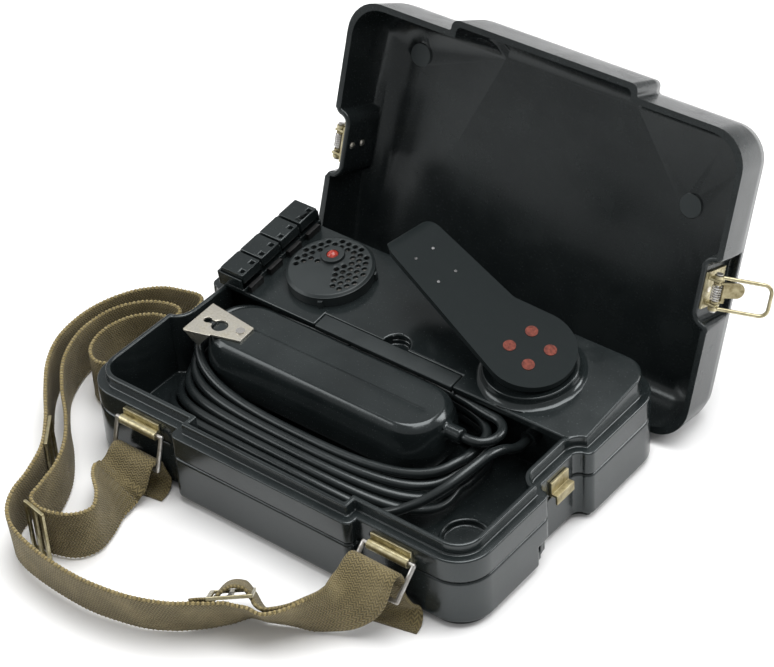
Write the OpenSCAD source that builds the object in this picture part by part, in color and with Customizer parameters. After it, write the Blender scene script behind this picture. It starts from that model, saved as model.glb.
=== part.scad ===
// Portable field telephone in a two-part moulded case, with its lid taken off.
// The origin is on the floor under the middle of the case. +X runs along the front, +Y to the rear.

/* [Case] */
// Length of the case between its short sides
case_w = 222; // [212:1:240]
// Depth of the case at its corners, without the proud front
case_d = 150; // [146:1:162]
// Radius of the case's upright corners
corner_r = 17; // [13:0.5:20]
// How far the middle of the front stands proud of the corners
bulge_t = 5.75; // [4:0.25:8]
// Length of the proud middle of the front
bulge_w = 104; // [94:1:110]
// Radius of the proud middle's outer edges
bulge_r = 4; // [2:0.5:5]
// Width of the latch recess in each short side
recess_w = 29.4; // [28:0.2:32]
// Depth of the latch recess in each short side
recess_d = 7; // [6:0.25:8]
// Radius of the latch recess's corners
recess_r = 4; // [2:0.5:5]
// Wall of the casings and of the lid
wall = 3; // [2.4:0.1:3.6]
// Height of the foot that runs around the underside
foot_h = 3; // [2:0.5:4]
// Height of the joint between the lower and the upper casing
seam_z = 27; // [25:0.5:29]
// Thickness of the seal in that joint
seal_t = 0.6; // [0.4:0.1:1]
// How far the seal lies back from the outer wall
seal_inset = 1; // [0.6:0.1:1.5]
// Height of the ledge that the lid's rim rests on
ledge_z = 39; // [37:0.5:40]
// Distance from the outer wall to the raised rim
rim_inset = 4.5; // [4:0.25:5.5]
// Thickness of the raised rim
rim_t = 2.5; // [2:0.25:3]
// Height of the raised rim at the front
rim_z = 44.5; // [43:0.5:46]
// Radius of the screws that hold the casings together
case_screw_r = 1.7; // [1.2:0.1:2]

/* [Well] */
// Height of the floor of the handset well
well_z = 11; // [10:0.5:12]
// Thickness of the well's floor and back wall
well_t = 2; // [1.5:0.25:2.5]
// Distance from the middle of the case to the well's back wall
well_back = 22; // [21.5:0.25:23]
// Radius of the round pocket on the well's floor
pocket_r = 12; // [9:0.5:14]

/* [Panel] */
// Distance from the middle of the case to the panel's front edge
panel_y = 14; // [13.5:0.25:15]
// Height of the panel's front edge
panel_z = 44; // [43.5:0.25:46]
// Slope of the panel, rising to the rear
panel_tilt = 6.3; // [5:0.1:7]
// Thickness of the panel
panel_t = 3; // [2.5:0.25:3.25]
// Radius of the finger notch behind the battery cover
notch_r = 7; // [5:0.5:8]
// Length of the battery cover
cover_w = 80; // [70:1:84]
// Thickness of the battery cover's top bar
cover_t = 3; // [2:0.25:3.5]
// Thickness of the battery cover's upright plate
cover_plate_t = 1.8; // [1.2:0.1:2]
// Running clearance around lifting and sliding pieces
slide_gap = 0.3; // [0.2:0.05:0.4]

/* [Sounder and lamp] */
// Radius of the sounder's cap
cap_r = 21.5; // [19:0.5:22.5]
// Height of the sounder's cap
cap_h = 6.5; // [5:0.25:7.5]
// Radius of each sound hole
sound_r = 1.3; // [0.9:0.1:1.5]
// Radius of the red lamp
lamp_r = 2.8; // [2:0.1:3.2]

/* [Terminals] */
// Distance from one terminal key to the next
key_pitch = 14.5; // [13.5:0.1:15]
// Width of a terminal key, across the block
key_w = 14; // [11:0.5:15]
// Height of the terminal keys above the panel
key_top = 11.5; // [10.5:0.25:13]
// Travel of a terminal key
key_travel = 2.5; // [1.5:0.25:2.5]

/* [Crank] */
// Distance of the crank's axis from the middle of the case
crank_x = 62; // [60:0.5:64]
// Radius of the boss under the crank
boss_r = 22.5; // [20:0.5:23]
// Height of that boss
boss_h = 5.5; // [4:0.25:6]
// Radius of the crank's round end
hub_r = 21.5; // [18:0.5:22]
// Length of the crank from its axis to its tip
crank_len = 86; // [76:1:90]
// Thickness of the crank's plate
crank_t = 3.6; // [2.8:0.1:4]
// Slope of the crank's plate above the panel
crank_rise = 14; // [12:0.5:16]
// Radius of the crank's shaft
shaft_r = 3; // [2.5:0.1:3.5]
// Radius of the finger knob under the crank
knob_r = 8; // [6:0.5:9]
// Height of the finger knob
knob_h = 9; // [7:0.5:10]
// Side of the square of red rivets on the crank
rivet_pitch = 13; // [11:0.5:15]

/* [Generator] */
// Teeth of the drive gear
gear_teeth = 48; // [40:4:48]
// Teeth of the rotor's pinion
pinion_teeth = 12; // [10:2:14]
// Size of a gear tooth
gear_module = 0.66; // [0.56:0.02:0.68]
// Radius of the rotor's shaft
rotor_shaft_r = 1.5; // [1.2:0.1:1.8]

/* [Handset] */
// Length of the handset
handset_l = 136; // [126:1:138]
// Width of the handset
handset_w = 40; // [36:0.5:41]
// Height of the handset's back above the floor
handset_z = 46.5; // [45:0.5:48]
// Height of the joint between the handset's shells
handset_seam = 31; // [29:0.5:32]
// Wall of the handset's shells
handset_wall = 2.4; // [1.8:0.1:3]
// Radius of the ear and mouth caps
earcap_r = 18; // [15:0.5:18.5]
// Radius of the boss that the cord leaves
cord_boss_r = 3.7; // [3:0.1:4]
// Thickness of the handset's spring clip
clip_t = 1.2; // [0.8:0.1:1.6]

/* [Cord] */
// Diameter of the handset's cord
cord_d = 4.6; // [4:0.1:4.8]

/* [Lid] */
// Depth of the lid
lid_depth = 33; // [31:0.5:36]
// How far the lid leans back
lid_lean = 19.2; // [15:0.2:22]
// Sideways shift of the standing lid
lid_x = 8.5; // [0:0.5:12]
// Gap between the standing lid and the case
lid_gap = 0.8; // [0.5:0.1:3]

/* [Latches] */
// Radius of the latch pins
pin_r = 0.9; // [0.7:0.05:1.1]
// Radius of the wire that the latch bails are bent from
bail_r = 0.9; // [0.7:0.05:1.1]
// Reach of the latch bails from their pin
bail_len = 24.5; // [20:0.5:27]
// Turns of the latch springs
spring_turns = 6; // [4:1:7]

/* [Strap] */
// Width of the webbing strap
strap_w = 27; // [24:0.5:28]
// Thickness of the webbing
strap_t = 1.8; // [1.2:0.1:2]
// Radius of the wire that the strap rings are bent from
ring_r = 1.1; // [0.8:0.05:1.3]
// Length of the strap rings' legs
ring_leg = 17; // [15:0.5:18]

/* [Hidden] */
$fn = 48;

case_black = "#1d2022";
panel_black = "#2b2f31";
plate_silver = "#c9c5b8";
brass = "#b79b5b";
steel = "#9a9da0";
webbing = "#8f8460";
signal_red = "#b8402f";

// Panel frame: crank and sounder places along and up the slope
crank_v = 26.2;
sounder_at = [-case_w / 2 + 53, 30.2];
lamp_shift = [-3, 6];
key_x = -case_w / 2 + 11;
key_v = -1.5;
shaft_gap = 0.1;
bush_r = 6;
knob_at = [61.5, 4.5];
rotor_x = crank_x - gear_module * (gear_teeth + pinion_teeth) / 2;
board_z = 18;
board_t = 1.6;
board_x = -case_w / 2 + 17;
board_y = well_back + well_t + 5;
board_d = case_d / 2 - wall - 3 - board_y;
screw_front = [case_w / 2 - 12, -case_d / 2 + 13];
screw_rear = [case_w / 2 - 10, case_d / 2 - 15];
pocket_at = [80, -36];

// Battery cover, centred a little left of the middle
cover_x = -4;
board_w = cover_x - 36 - board_x;
cover_front = 13.4;
plate_y = well_back - slide_gap - cover_plate_t;

// Handset frame: its middle
hand_x = -18;
hand_y = -7.5;
ear_x = hand_x - 44;
mouth_x = hand_x + 44;
cap_z = 20;
boss_at = [-6, 38.5];
clip_screw_at = [-66, -13.5];

// Lid: depth below the rim and inset of each layer of its rounded back
lid_layers = [[0, 0], [0.6 * lid_depth, 1.8], [0.79 * lid_depth, 3.2],
    [0.925 * lid_depth, 6.5], [lid_depth, 12]];
lid_z = 0.05 + max([for (l = lid_layers) (case_d / 2 - l[1]) * cos(lid_lean) + l[0] * sin(lid_lean)]);
lid_y = case_d / 2 + lid_gap + case_d / 2 * sin(lid_lean);
latch_depth = 22;

// Latch frame: pin place from the recess face, and from the rim into the lid
pin_out = 5;
pin_in = -4.5;
ear_t = 1.2;
ear_u = 5.4;
eye_gap = 0.15;
tab_u = 4.5;
bail_u = 7.6;
pin_half = 8.7;
spring_half = 3.4;
bail_bend = 4;
tab_w = 7.5;
tab_len = 13.5;

// Swing of the bails and the tabs at rest, left and right, towards the lid's back
bail_rest = [75, 32];
tab_rest = [70, 50];

// Strap rings: pivot place, swing at rest and width between the legs
ring_y = -case_d / 2 - 2.6;
ring_z = 31;
ring_w = 27;
ring_x = [-73.5, 71];
ring_swing = [17, 48];

// Centre line of the strap from the front wall, with the direction across its width
strap_route = [
    [-73.5, -8.6, 11.2, 1, 0, 0], [-73.5, -11.4, 8.4, 1, 0, 0], [-73.8, -16, 8.6, 0.97, 0, -0.25],
    [-73.5, -22, 10.8, 0.8, 0.1, -0.6], [-69, -31, 13.5, 0.45, 0.2, -0.87],
    [-61, -42, 14.5, 0.15, 0.1, -0.98], [-57, -52, 14.5, 0, 0, -1], [-62, -61, 14.5, 0, 0, -1],
    [-74, -65.5, 14.5, 0, 0, -1], [-84, -63, 14.5, 0, 0, -1], [-87, -54, 14.5, 0, 0, -1],
    [-91, -40, 14.5, 0, 0, -1], [-99, -26, 14.5, 0, 0, -1], [-112, -12, 14.5, 0, 0, -1],
    [-127, 1, 14.5, 0, 0, -1], [-141, 17, 14.5, 0, 0, -1], [-149, 37, 14.5, 0, 0, -1],
    [-148, 57, 14.5, 0, 0, -1], [-140, 70, 14.5, 0, 0, -1], [-130, 76, 14.5, 0, 0, -1],
    [-122, 77, 14.5, 0, 0, -1], [-118.5, 73.5, 14.5, 0, 0, -1], [-121, 69, 14.5, 0, 0, -1],
    [-129, 66, 14.5, 0, 0, -1], [-137, 57, 14.5, 0, 0, -1], [-140, 43, 14.5, 0, 0, -1],
    [-136, 30, 14.5, 0, 0, -1], [-127, 24, 14.5, 0, 0, -1], [-119, 28, 14.5, 0, 0, -1],
    [-116, 39, 14.5, 0, 0, -1], [-115, 55, 14.5, 0, 0, -1], [-114.5, 75, 14.5, 0, 0, -1],
    [-115, 85, 14.5, 0, 0, -1], [-119, 90, 14.5, 0, 0, -1], [-127, 89, 14.5, 0, 0, -1],
    [-140, 84, 14.5, 0, 0, -1], [-151, 71, 14.5, 0, 0, -1], [-157, 51, 14.5, 0, 0, -1],
    [-155, 29, 14.5, 0, 0, -1], [-146, 11, 14.5, 0, 0, -1], [-132, -5, 14.5, 0, 0, -1],
    [-117, -20, 14.5, 0, 0, -1], [-105, -35, 14.5, 0, 0, -1], [-98, -51, 14.5, 0, 0, -1],
    [-94.2, -64.3, 14.5, 0, 0, -1], [-87.3, -74.2, 14.5, 0, 0.04, -1], [-76.2, -80.2, 14.35, 0.01, 0.11, -0.99],
    [-57.2, -83.6, 14.2, 0.01, 0.18, -0.98], [-35.2, -84.4, 14.1, -0.01, 0.22, -0.98],
    [-18.5, -82.1, 13.9, -0.06, 0.25, -0.97], [-5, -78.6, 13.9, -0.1, 0.26, -0.96],
    [6.6, -72.8, 13.7, -0.18, 0.27, -0.95], [13.7, -67.5, 13.6, -0.23, 0.26, -0.94],
    [20, -62, 13.3, -0.29, 0.26, -0.92], [25.4, -56.3, 13, -0.34, 0.29, -0.9],
    [32.1, -51.3, 13.4, -0.41, 0.44, -0.79], [39.5, -48.8, 12.2, -0.34, 0.52, -0.78],
    [47.4, -44.4, 12.7, -0.26, 0.42, -0.87], [54.5, -40.8, 13.6, -0.12, 0.2, -0.97],
    [60.8, -38.2, 14.3, 0, 0.08, -1], [66, -35.6, 14.6, 0.1, 0.02, -0.99],
    [69.3, -32.2, 14.6, 0.36, 0, -0.93], [70.6, -28.9, 14.6, 0.7, 0, -0.71],
    [71, -25.9, 14.6, 0.93, 0, -0.36], [71, -23.2, 14.6, 1, 0, 0]];

// Slides on the strap: place from the front wall, turn about the upright, length, lean and shift up
slide_places = [[-77, -65.6, 14.5, -10, 14, 0, 0], [21.4, -49.6, 19.5, 40.5, 20, 51.6, 0],
    [-111, -27.4, 14.5, 128.5, 20, 0, 0]];

// Folded tails of the strap behind the rings, from the front wall
tail_routes = [
    [[-73, -1.3, 14, 1, 0, 0], [-72.8, -1.4, 7.5, 1, 0, 0], [-72.4, -3.2, 3, 1, 0, 0], [-72, -8, 1.4, 1, 0, 0]],
    [[72, -1.3, 17, 1, 0, 0], [72.4, -1.4, 9, 1, 0, 0], [73, -3.6, 3.4, 1, 0, 0], [74, -12, 1.4, 1, 0, 0]]];

// Winding of the cord: middle, half length, half depths, heights and steps per turn
wind_at = [-14, -9];
wind_a = 77;
wind_front = 24.5;
wind_back = 25.5;
wind_z = 28;
wind_lift = 10.4;
wind_crest = 1;
wind_step = 5.4;
wind_drop = 5.2;
wind_from = 75;
wind_to = 1740;
wind_power = [0.77, 0.45];
wind_spread = 0.2;

// Cord from the handset to the winding, and from the winding to the gland
cord_loop = [60.8, 3.2, 38.5];
cord_loop_r = 9.2;
cord_start = [[60.8, 12.4, 38.5], [56.6, 12.7, 38.5], [52.4, 13.2, 38.4], [48.2, 13.9, 38.3], [44, 14.7, 38.2]];
cord_end = [[54, -49.5, 25.5], [62, -43, 30], [69, -33, 35.2], [73.2, -21, 39], [75, -10, 39.8],
    [76, -1.5, 37.2], [76, 4.5, 33.1], [76, 9.2, 30.8], [76, 12.4, 30.1], [76, 14.6, 30]];
gland_at = [76, 30];
gland_r = 4;
gland_len = 5;

// Vector helpers
function unit(v) = v / norm(v);
function xyz(p) = [p[0], p[1], p[2]];
function blend(p, i, t) = let (n = len(p), a = p[max(i - 1, 0)], b = p[i], c = p[i + 1],
    d = p[min(i + 2, n - 1)])
    0.5 * (2 * b + (c - a) * t + (2 * a - 5 * b + 4 * c - d) * t * t + (3 * b - a - 3 * c + d) * t * t * t);
function smooth(p, s) = [for (i = [0 : len(p) - 2]) for (k = [0 : s - 1]) blend(p, i, k / s), p[len(p) - 1]];
function heading(p, i) = unit(xyz(p[min(i + 1, len(p) - 1)]) - xyz(p[max(i - 1, 0)]));
function least_gap(p, skip) = min([for (i = [0 : len(p) - 1]) for (j = [i + skip : 1 : len(p) - 1]) norm(p[i] - p[j])]);

// Triangles between rings of n points each, with both ends closed
function skin(rings, n) = concat(
    [for (i = [0 : rings - 2]) for (j = [0 : n - 1]) each
        [[i * n + j, (i + 1) * n + j, (i + 1) * n + (j + 1) % n],
         [i * n + j, (i + 1) * n + (j + 1) % n, i * n + (j + 1) % n]]],
    [for (j = [1 : n - 2]) [0, j, j + 1]],
    [for (j = [1 : n - 2]) [(rings - 1) * n, (rings - 1) * n + j + 1, (rings - 1) * n + j]]);

// The same for a flat band of four points a ring, with both wide faces split the same way
function band_skin(rings) = concat(
    [for (i = [0 : rings - 2]) for (j = [0 : 3]) let (a = 4 * i + j, b = 4 * i + (j + 1) % 4)
        each (j == 3 ? [[a, a + 4, b], [a + 4, b + 4, b]] : [[a, a + 4, b + 4], [a, b + 4, b]])],
    [[0, 1, 2], [0, 2, 3]], let (k = 4 * rings - 4) [[k, k + 2, k + 1], [k, k + 3, k + 2]]);

// Round tube along points; side sets which way its first corner looks
module tube(path, r, sides, side) {
    points = [for (i = [0 : len(path) - 1])
        let (t = heading(path, i), u = unit(cross(t, side)), v = cross(u, t))
        for (j = [0 : sides - 1]) path[i] + r * (cos(360 * j / sides) * u + sin(360 * j / sides) * v)];
    polyhedron(points, skin(len(path), sides), convexity = 10);
}

// Flat band along points that carry the direction across the band
module ribbon(route, w, t) {
    path = smooth(route, 2);
    points = [for (i = [0 : len(path) - 1])
        let (h = heading(path, i), a = unit([path[i][3], path[i][4], path[i][5]]),
            n = unit(cross(h, a)), b = cross(n, h), p = xyz(path[i]))
        each [p - b * w / 2 - n * t / 2, p - b * w / 2 + n * t / 2, p + b * w / 2 + n * t / 2,
            p + b * w / 2 - n * t / 2]];
    polyhedron(points, band_skin(len(path)), convexity = 10);
}

// Rounded rectangle about the origin
module rounded(w, d, r) {
    square([w - 2 * r, d], center = true);
    square([w, d - 2 * r], center = true);
    for (sx = [-1, 1], sy = [-1, 1]) {
        translate([sx * (w / 2 - r), sy * (d / 2 - r)]) circle(r);
    }
}

// Plan of the case, drawn in by an inset
module plan(inset) {
    difference() {
        union() {
            rounded(case_w - 2 * inset, case_d - 2 * inset, max(corner_r - inset, 1));
            translate([0, -case_d / 2 - bulge_t + inset + case_d / 4]) {
                rounded(bulge_w - 2 * inset, case_d / 2, max(bulge_r - inset, 0.8));
            }
        }
        side_recesses(inset);
    }
}

// Latch recesses in both short sides: hollow inner corners and rounded outer ones
module side_recesses(inset) {
    w = recess_w / 2 + inset;
    r = recess_r - inset;
    for (s = [0, 1]) {
        mirror([s, 0, 0]) translate([case_w / 2, 0]) {
            rounded(2 * (recess_d + inset), 2 * w, recess_r + inset);
            if (r > 0.3) for (e = [0, 1]) {
                mirror([0, e, 0]) difference() {
                    translate([-inset - r, w - 0.5]) square([2 * r, r + 0.5]);
                    translate([-inset - r, w + r]) circle(r);
                    translate([-case_w / 2, w - 1]) square([case_w / 2 - inset - r, 1.001]);
                }
            }
        }
    }
}

// Everything in front of a line across the case
module before(y) {
    translate([-case_w, y - 2 * case_d]) square([2 * case_w, 2 * case_d]);
}

// Frames of the sloping panel, the crank's plate and the lid
module on_panel() {
    translate([0, panel_y, panel_z]) rotate([panel_tilt, 0, 0]) children();
}
module on_crank() {
    on_panel() translate([crank_x, crank_v, boss_h + 8.1]) rotate([0, 0, 165.5]) rotate([0, -crank_rise, 0]) children();
}
module on_lid() {
    translate([lid_x, lid_y, lid_z]) rotate([90 - lid_lean, 0, 0]) children();
}
module on_latch(s) {
    on_lid() translate([s * (case_w / 2 - recess_d), 0, 0]) rotate([0, 0, s < 0 ? 180 : 0]) children();
}
module on_ring(i) {
    translate([ring_x[i], ring_y, ring_z]) rotate([-ring_swing[i], 0, 0]) children();
}

// Slab of a rounded form at a height
module slab(w, d, r, z) {
    translate([0, 0, z]) linear_extrude(0.1) rounded(w, d, r);
}

// Places of the case screws
module at_screws() {
    for (s = [-1, 1]) {
        translate([s * screw_front[0], screw_front[1], 0]) children();
        translate([s * screw_rear[0], screw_rear[1], 0]) children();
    }
}

// Lower casing with its foot, screw posts and board posts
module lower_case() {
    color(case_black) difference() {
        union() {
            difference() {
                translate([0, 0, foot_h]) linear_extrude(seam_z - seal_t - foot_h) plan(0);
                translate([0, 0, foot_h + wall]) linear_extrude(seam_z) plan(wall);
            }
            linear_extrude(foot_h + 0.5) difference() {
                intersection() {
                    plan(3);
                    square([case_w, case_d - 6], center = true);
                }
                plan(17);
            }
            at_screws() translate([0, 0, foot_h]) cylinder(r = 5, h = well_z - well_t - foot_h);
            for (x = [board_x + 5, board_x + board_w - 5], y = [board_y + 5, board_y + board_d - 5]) {
                translate([x, y, foot_h]) cylinder(r = 3, h = board_z - foot_h);
            }
        }
        at_screws() {
            translate([0, 0, -1]) cylinder(r = case_screw_r + 0.15, h = well_z + 2);
            translate([0, 0, -1]) cylinder(r = 2 * case_screw_r + 0.2, h = 3.5);
        }
        for (s = [-1, 1]) {
            translate([s * case_w / 2, -recess_w / 2 - 4.4, 5]) cube([8, 9, 18], center = true);
        }
    }
}

// Seal between the casings
module case_seal() {
    color(panel_black) translate([0, 0, seam_z - seal_t]) linear_extrude(seal_t) difference() {
        plan(seal_inset);
        plan(wall);
    }
}

// Screws from below that draw the casings together
module case_screws() {
    color(steel) at_screws() {
        difference() {
            union() {
                translate([0, 0, 0.6]) cylinder(r = 2 * case_screw_r, h = 1.9);
                translate([0, 0, 1]) cylinder(r = case_screw_r, h = well_z - 1.5);
            }
            translate([0, 0, 0.6]) cube([3 * case_screw_r, 0.9, 1.4], center = true);
        }
    }
}

// Space under the panel's surface, shifted along its normal
module under_panel(z) {
    on_panel() translate([-case_w, -case_d, z - 100]) cube([2 * case_w, 2 * case_d, 100]);
}

// Rim around the well and the panel
module rim_ring(inset) {
    difference() {
        plan(inset);
        plan(rim_inset + rim_t);
    }
}

// Round boss under the crank, with a hollow foot
module crank_boss() {
    on_panel() translate([crank_x, crank_v, 0]) rotate_extrude($fn = 64) {
        polygon(concat([[0, -1], [boss_r + 3.5, -1]],
            [for (a = [0 : 15 : 90]) [boss_r + 3.5 - 3.5 * sin(a), 3.5 - 3.5 * cos(a)]],
            [[boss_r, boss_h - 0.6], [boss_r - 0.6, boss_h], [0, boss_h]]));
    }
}

// Upper casing: skirt, ledge, handset well, front rim and the raised panel
module upper_case() {
    color(case_black) difference() {
        union() {
            translate([0, 0, seam_z]) linear_extrude(ledge_z - seam_z) difference() {
                plan(0);
                plan(wall);
            }
            translate([0, 0, ledge_z - wall]) linear_extrude(wall) rim_ring(0);
            translate([0, 0, well_z - well_t]) linear_extrude(ledge_z - well_z + well_t) intersection() {
                rim_ring(rim_inset);
                before(well_back + well_t);
            }
            translate([0, 0, ledge_z - 1]) linear_extrude(rim_z - ledge_z + 1) intersection() {
                rim_ring(rim_inset);
                before(panel_y);
            }
            translate([0, 0, well_z - well_t]) linear_extrude(well_t) intersection() {
                plan(rim_inset + 0.5);
                before(well_back + well_t);
            }
            intersection() {
                translate([0, 0, well_z - well_t]) linear_extrude(50) intersection() {
                    plan(rim_inset + 0.5);
                    translate([-case_w / 2, well_back]) square([case_w, well_t]);
                }
                under_panel(-0.5);
            }
            difference() {
                intersection() {
                    translate([0, 0, ledge_z - wall]) linear_extrude(40) difference() {
                        plan(rim_inset);
                        before(panel_y);
                    }
                    under_panel(0);
                }
                intersection() {
                    translate([0, 0, ledge_z - wall - 1]) linear_extrude(40) plan(rim_inset + rim_t);
                    under_panel(-panel_t);
                }
            }
            crank_boss();
            intersection() {
                translate([cover_x + 1.5, well_back + slide_gap, 38]) cylinder(r = notch_r + 2, h = 4.5);
                translate([-case_w / 2, well_back, 30]) cube([case_w, 20, 20]);
            }
            for (s = [-1, 1]) {
                intersection() {
                    translate([s * screw_rear[0], screw_rear[1], well_z - well_t]) cylinder(r = 4.2, h = 50);
                    under_panel(-0.5);
                }
            }
            translate([pocket_at[0], pocket_at[1], well_z - 0.5]) difference() {
                cylinder(r = pocket_r, h = 3.5);
                translate([0, 0, -1]) cylinder(r = pocket_r - 1.8, h = 6);
            }
        }
        on_panel() translate([crank_x, crank_v, -10]) cylinder(r = bush_r, h = 20);
        on_panel() translate([sounder_at[0], sounder_at[1], -10]) cylinder(r = 16, h = 20);
        translate([cover_x - cover_w / 2 - slide_gap, panel_y - 5, 40]) {
            cube([cover_w + 2 * slide_gap, well_back - panel_y + 5 + slide_gap, 10]);
        }
        translate([cover_x - 36, well_back - 1, 15]) cube([72, well_t + 2, 21]);
        translate([cover_x + 1.5, well_back + slide_gap, 40]) cylinder(r = notch_r, h = 10);
        translate([gland_at[0], well_back + 5, gland_at[1]]) rotate([90, 0, 0]) cylinder(r = 3.1, h = 10);
        at_screws() translate([0, 0, 5]) cylinder(r = case_screw_r + 0.15, h = well_z - 5.3);
    }
}

// Catch on the short side that a latch bail hooks under
module catch(s) {
    color(brass) translate([s * (case_w / 2 - recess_d), 0, 0]) mirror([s < 0 ? 1 : 0, 0, 0]) {
        translate([0, 6.5, 0]) rotate([90, 0, 0]) linear_extrude(13) {
            polygon([[0, 27.6], [1.5, 27.6], [1.5, 28.3], [3.3, 28.3], [3.3, 24.5], [4.5, 24.5],
                [4.5, 29.5], [1.5, 29.5], [1.5, 35.5], [0, 35.5]]);
        }
    }
}
module catch_left() {
    catch(-1);
}
module catch_right() {
    catch(1);
}

// Battery cover: flush top bar and an upright plate over the battery opening
module battery_cover() {
    color(panel_black) translate([cover_x, 0, 0]) {
        intersection() {
            translate([-cover_w / 2, cover_front, 38]) cube([cover_w, well_back - cover_front, 12]);
            difference() {
                translate([-cover_x, 0, 0]) under_panel(0);
                translate([-cover_x, 0, 0]) under_panel(-cover_t);
            }
        }
        translate([-cover_w / 2, plate_y, 15.5]) cube([cover_w, cover_plate_t, panel_z - cover_t - 14.5]);
    }
}

// Battery behind the cover
module battery() {
    color(steel) translate([cover_x - 34, well_back + 6, foot_h + wall]) cube([66, 21, 25]);
}

// Perforated cap of the sounder
module sounder_cap() {
    lx = lamp_shift[0];
    ly = lamp_shift[1];
    color(panel_black) on_panel() translate([sounder_at[0], sounder_at[1], 0]) difference() {
        union() {
            cylinder(r = cap_r, h = cap_h - 1.2);
            translate([0, 0, cap_h - 1.3]) cylinder(r1 = cap_r, r2 = cap_r - 1.3, h = 1.3);
            translate([lx, ly, 0]) cylinder(r = lamp_r + 3, h = cap_h + 2);
            for (a = [25 : 90 : 295]) {
                rotate([0, 0, a]) translate([cap_r - 0.5, -1.2, 0]) cube([1.6, 2.4, cap_h - 2.5]);
            }
        }
        translate([0, 0, -1]) cylinder(r = cap_r - 1.8, h = cap_h - 0.8);
        translate([lx, ly, -1]) cylinder(r = lamp_r + 0.1, h = cap_h + 5);
        for (i = [-5 : 5], j = [-5 : 5]) {
            x = 3.9 * (i + (j % 2 == 0 ? 0 : 0.5));
            y = 3.4 * j;
            a = atan2(y - ly, x - lx);
            if (norm([x, y]) < cap_r - 3 && norm([x - lx, y - ly]) > lamp_r + 4.6 && (a < -128 || a > -52)) {
                translate([x, y, cap_h - 3]) cylinder(r = sound_r, h = 5, $fn = 16);
            }
        }
    }
}

// Sounder under the cap
module sounder_capsule() {
    color(steel) on_panel() translate([sounder_at[0], sounder_at[1], 0]) {
        translate([0, 0, -10]) cylinder(r = 15.5, h = 10.5);
        cylinder(r = 18, h = 1);
    }
}

// Red lamp in the cap
module signal_lamp() {
    color(signal_red) on_panel() translate([sounder_at[0] + lamp_shift[0], sounder_at[1] + lamp_shift[1], 0]) {
        translate([0, 0, 1]) cylinder(r = lamp_r, h = cap_h + 0.6);
        translate([0, 0, cap_h + 1.6]) intersection() {
            translate([0, 0, -lamp_r * 0.6]) sphere(r = lamp_r * 1.166);
            cylinder(r = lamp_r, h = 5);
        }
    }
}

// Terminal block: base, dividers and outer wall
module terminal_block() {
    n = 4;
    color(case_black) difference() {
        on_panel() {
            translate([key_x - 1.5, key_v - 0.5, 0]) cube([key_w + 1.5, n * key_pitch + 1, 3]);
            translate([key_x - 1.5, key_v - 0.5, 2]) cube([1.2, n * key_pitch + 1, key_top - 4.5]);
            for (i = [0 : n]) {
                translate([key_x - 1.5, key_v + i * key_pitch - 0.4, 2]) cube([key_w + 1, 0.8, key_top - 4.5]);
            }
        }
        translate([key_x - 10, panel_y - 20, rim_z - 10]) cube([40, 20 + slide_gap, 10 + slide_gap]);
    }
}

// Spring contacts along the inner side of the block
module terminal_contacts() {
    color(brass) on_panel() for (i = [0 : 3]) {
        translate([key_x + key_w, key_v + (i + 0.5) * key_pitch - 4.5, 0]) cube([2.2, 9, 3.5]);
    }
}

// One sprung terminal key with its two wire holes
module terminal_key(i) {
    color(case_black) on_panel() translate([key_x, key_v + (i - 0.5) * key_pitch, 0]) difference() {
        translate([0, -key_pitch / 2 + 0.7, 3 + key_travel + slide_gap]) {
            cube([key_w, key_pitch - 1.4, key_top - 3 - key_travel - slide_gap]);
        }
        for (s = [-1, 1]) {
            translate([key_w - 3.6, s * 3.6 - 1.1, key_top - 2.5]) cube([2.2, 2.2, 4]);
        }
    }
}
module terminal_key_1() {
    terminal_key(1);
}
module terminal_key_2() {
    terminal_key(2);
}
module terminal_key_3() {
    terminal_key(3);
}
module terminal_key_4() {
    terminal_key(4);
}

// Circuit board on its posts, with a transformer and a capacitor
module circuit_board() {
    color("#4d5a3c") translate([board_x, board_y, board_z]) cube([board_w, board_d, board_t]);
}
module transformer() {
    color(steel) translate([board_x + 4, board_y + 4, board_z + board_t]) cube([24, 18, 12]);
}
module capacitor() {
    color(brass) translate([board_x + 41, board_y + board_d - 10, board_z + board_t]) cylinder(r = 6, h = 14);
}

// Bush that carries the crank's shaft
module crank_bush() {
    color(brass) on_panel() translate([crank_x, crank_v, -panel_t]) difference() {
        cylinder(r = bush_r, h = panel_t + boss_h);
        translate([0, 0, -1]) cylinder(r = shaft_r + shaft_gap, h = panel_t + boss_h + 2);
    }
}

// Shaft with a head cut to the slope of the crank's plate
module crank_shaft() {
    color(steel) difference() {
        on_panel() translate([crank_x, crank_v, 0]) {
            translate([0, 0, -14.5]) cylinder(r = shaft_r, h = 14.5 + boss_h + 1);
            translate([0, 0, boss_h + slide_gap]) cylinder(r = hub_r - 3, h = 14);
        }
        on_crank() translate([-40, -40, -crank_t / 2]) cube([80, 80, 40]);
    }
}

// Outline of the crank's plate
module crank_outline() {
    circle(hub_r, $fn = 64);
    polygon([[0, 0], [0, hub_r], [crank_len - 9, 16.5], [crank_len, 7.5], [crank_len, -2],
        [crank_len - 9, -11], [26, -12.5], [8, -sqrt(hub_r * hub_r - 64)]]);
    translate([crank_len - 9, 7.5]) circle(9);
    translate([crank_len - 9, -2]) circle(9);
}

// Places of the red rivets and of the finger knob
module at_rivets() {
    for (sx = [-1, 1], sy = [-1, 1]) {
        translate([sx * rivet_pitch / 2, sy * rivet_pitch / 2, 0]) children();
    }
}
module at_pins() {
    for (sx = [-1, 1], sy = [-1, 1]) {
        translate([knob_at[0] + sx * 8.2, knob_at[1] + sy * 5, 0]) children();
    }
}

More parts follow.
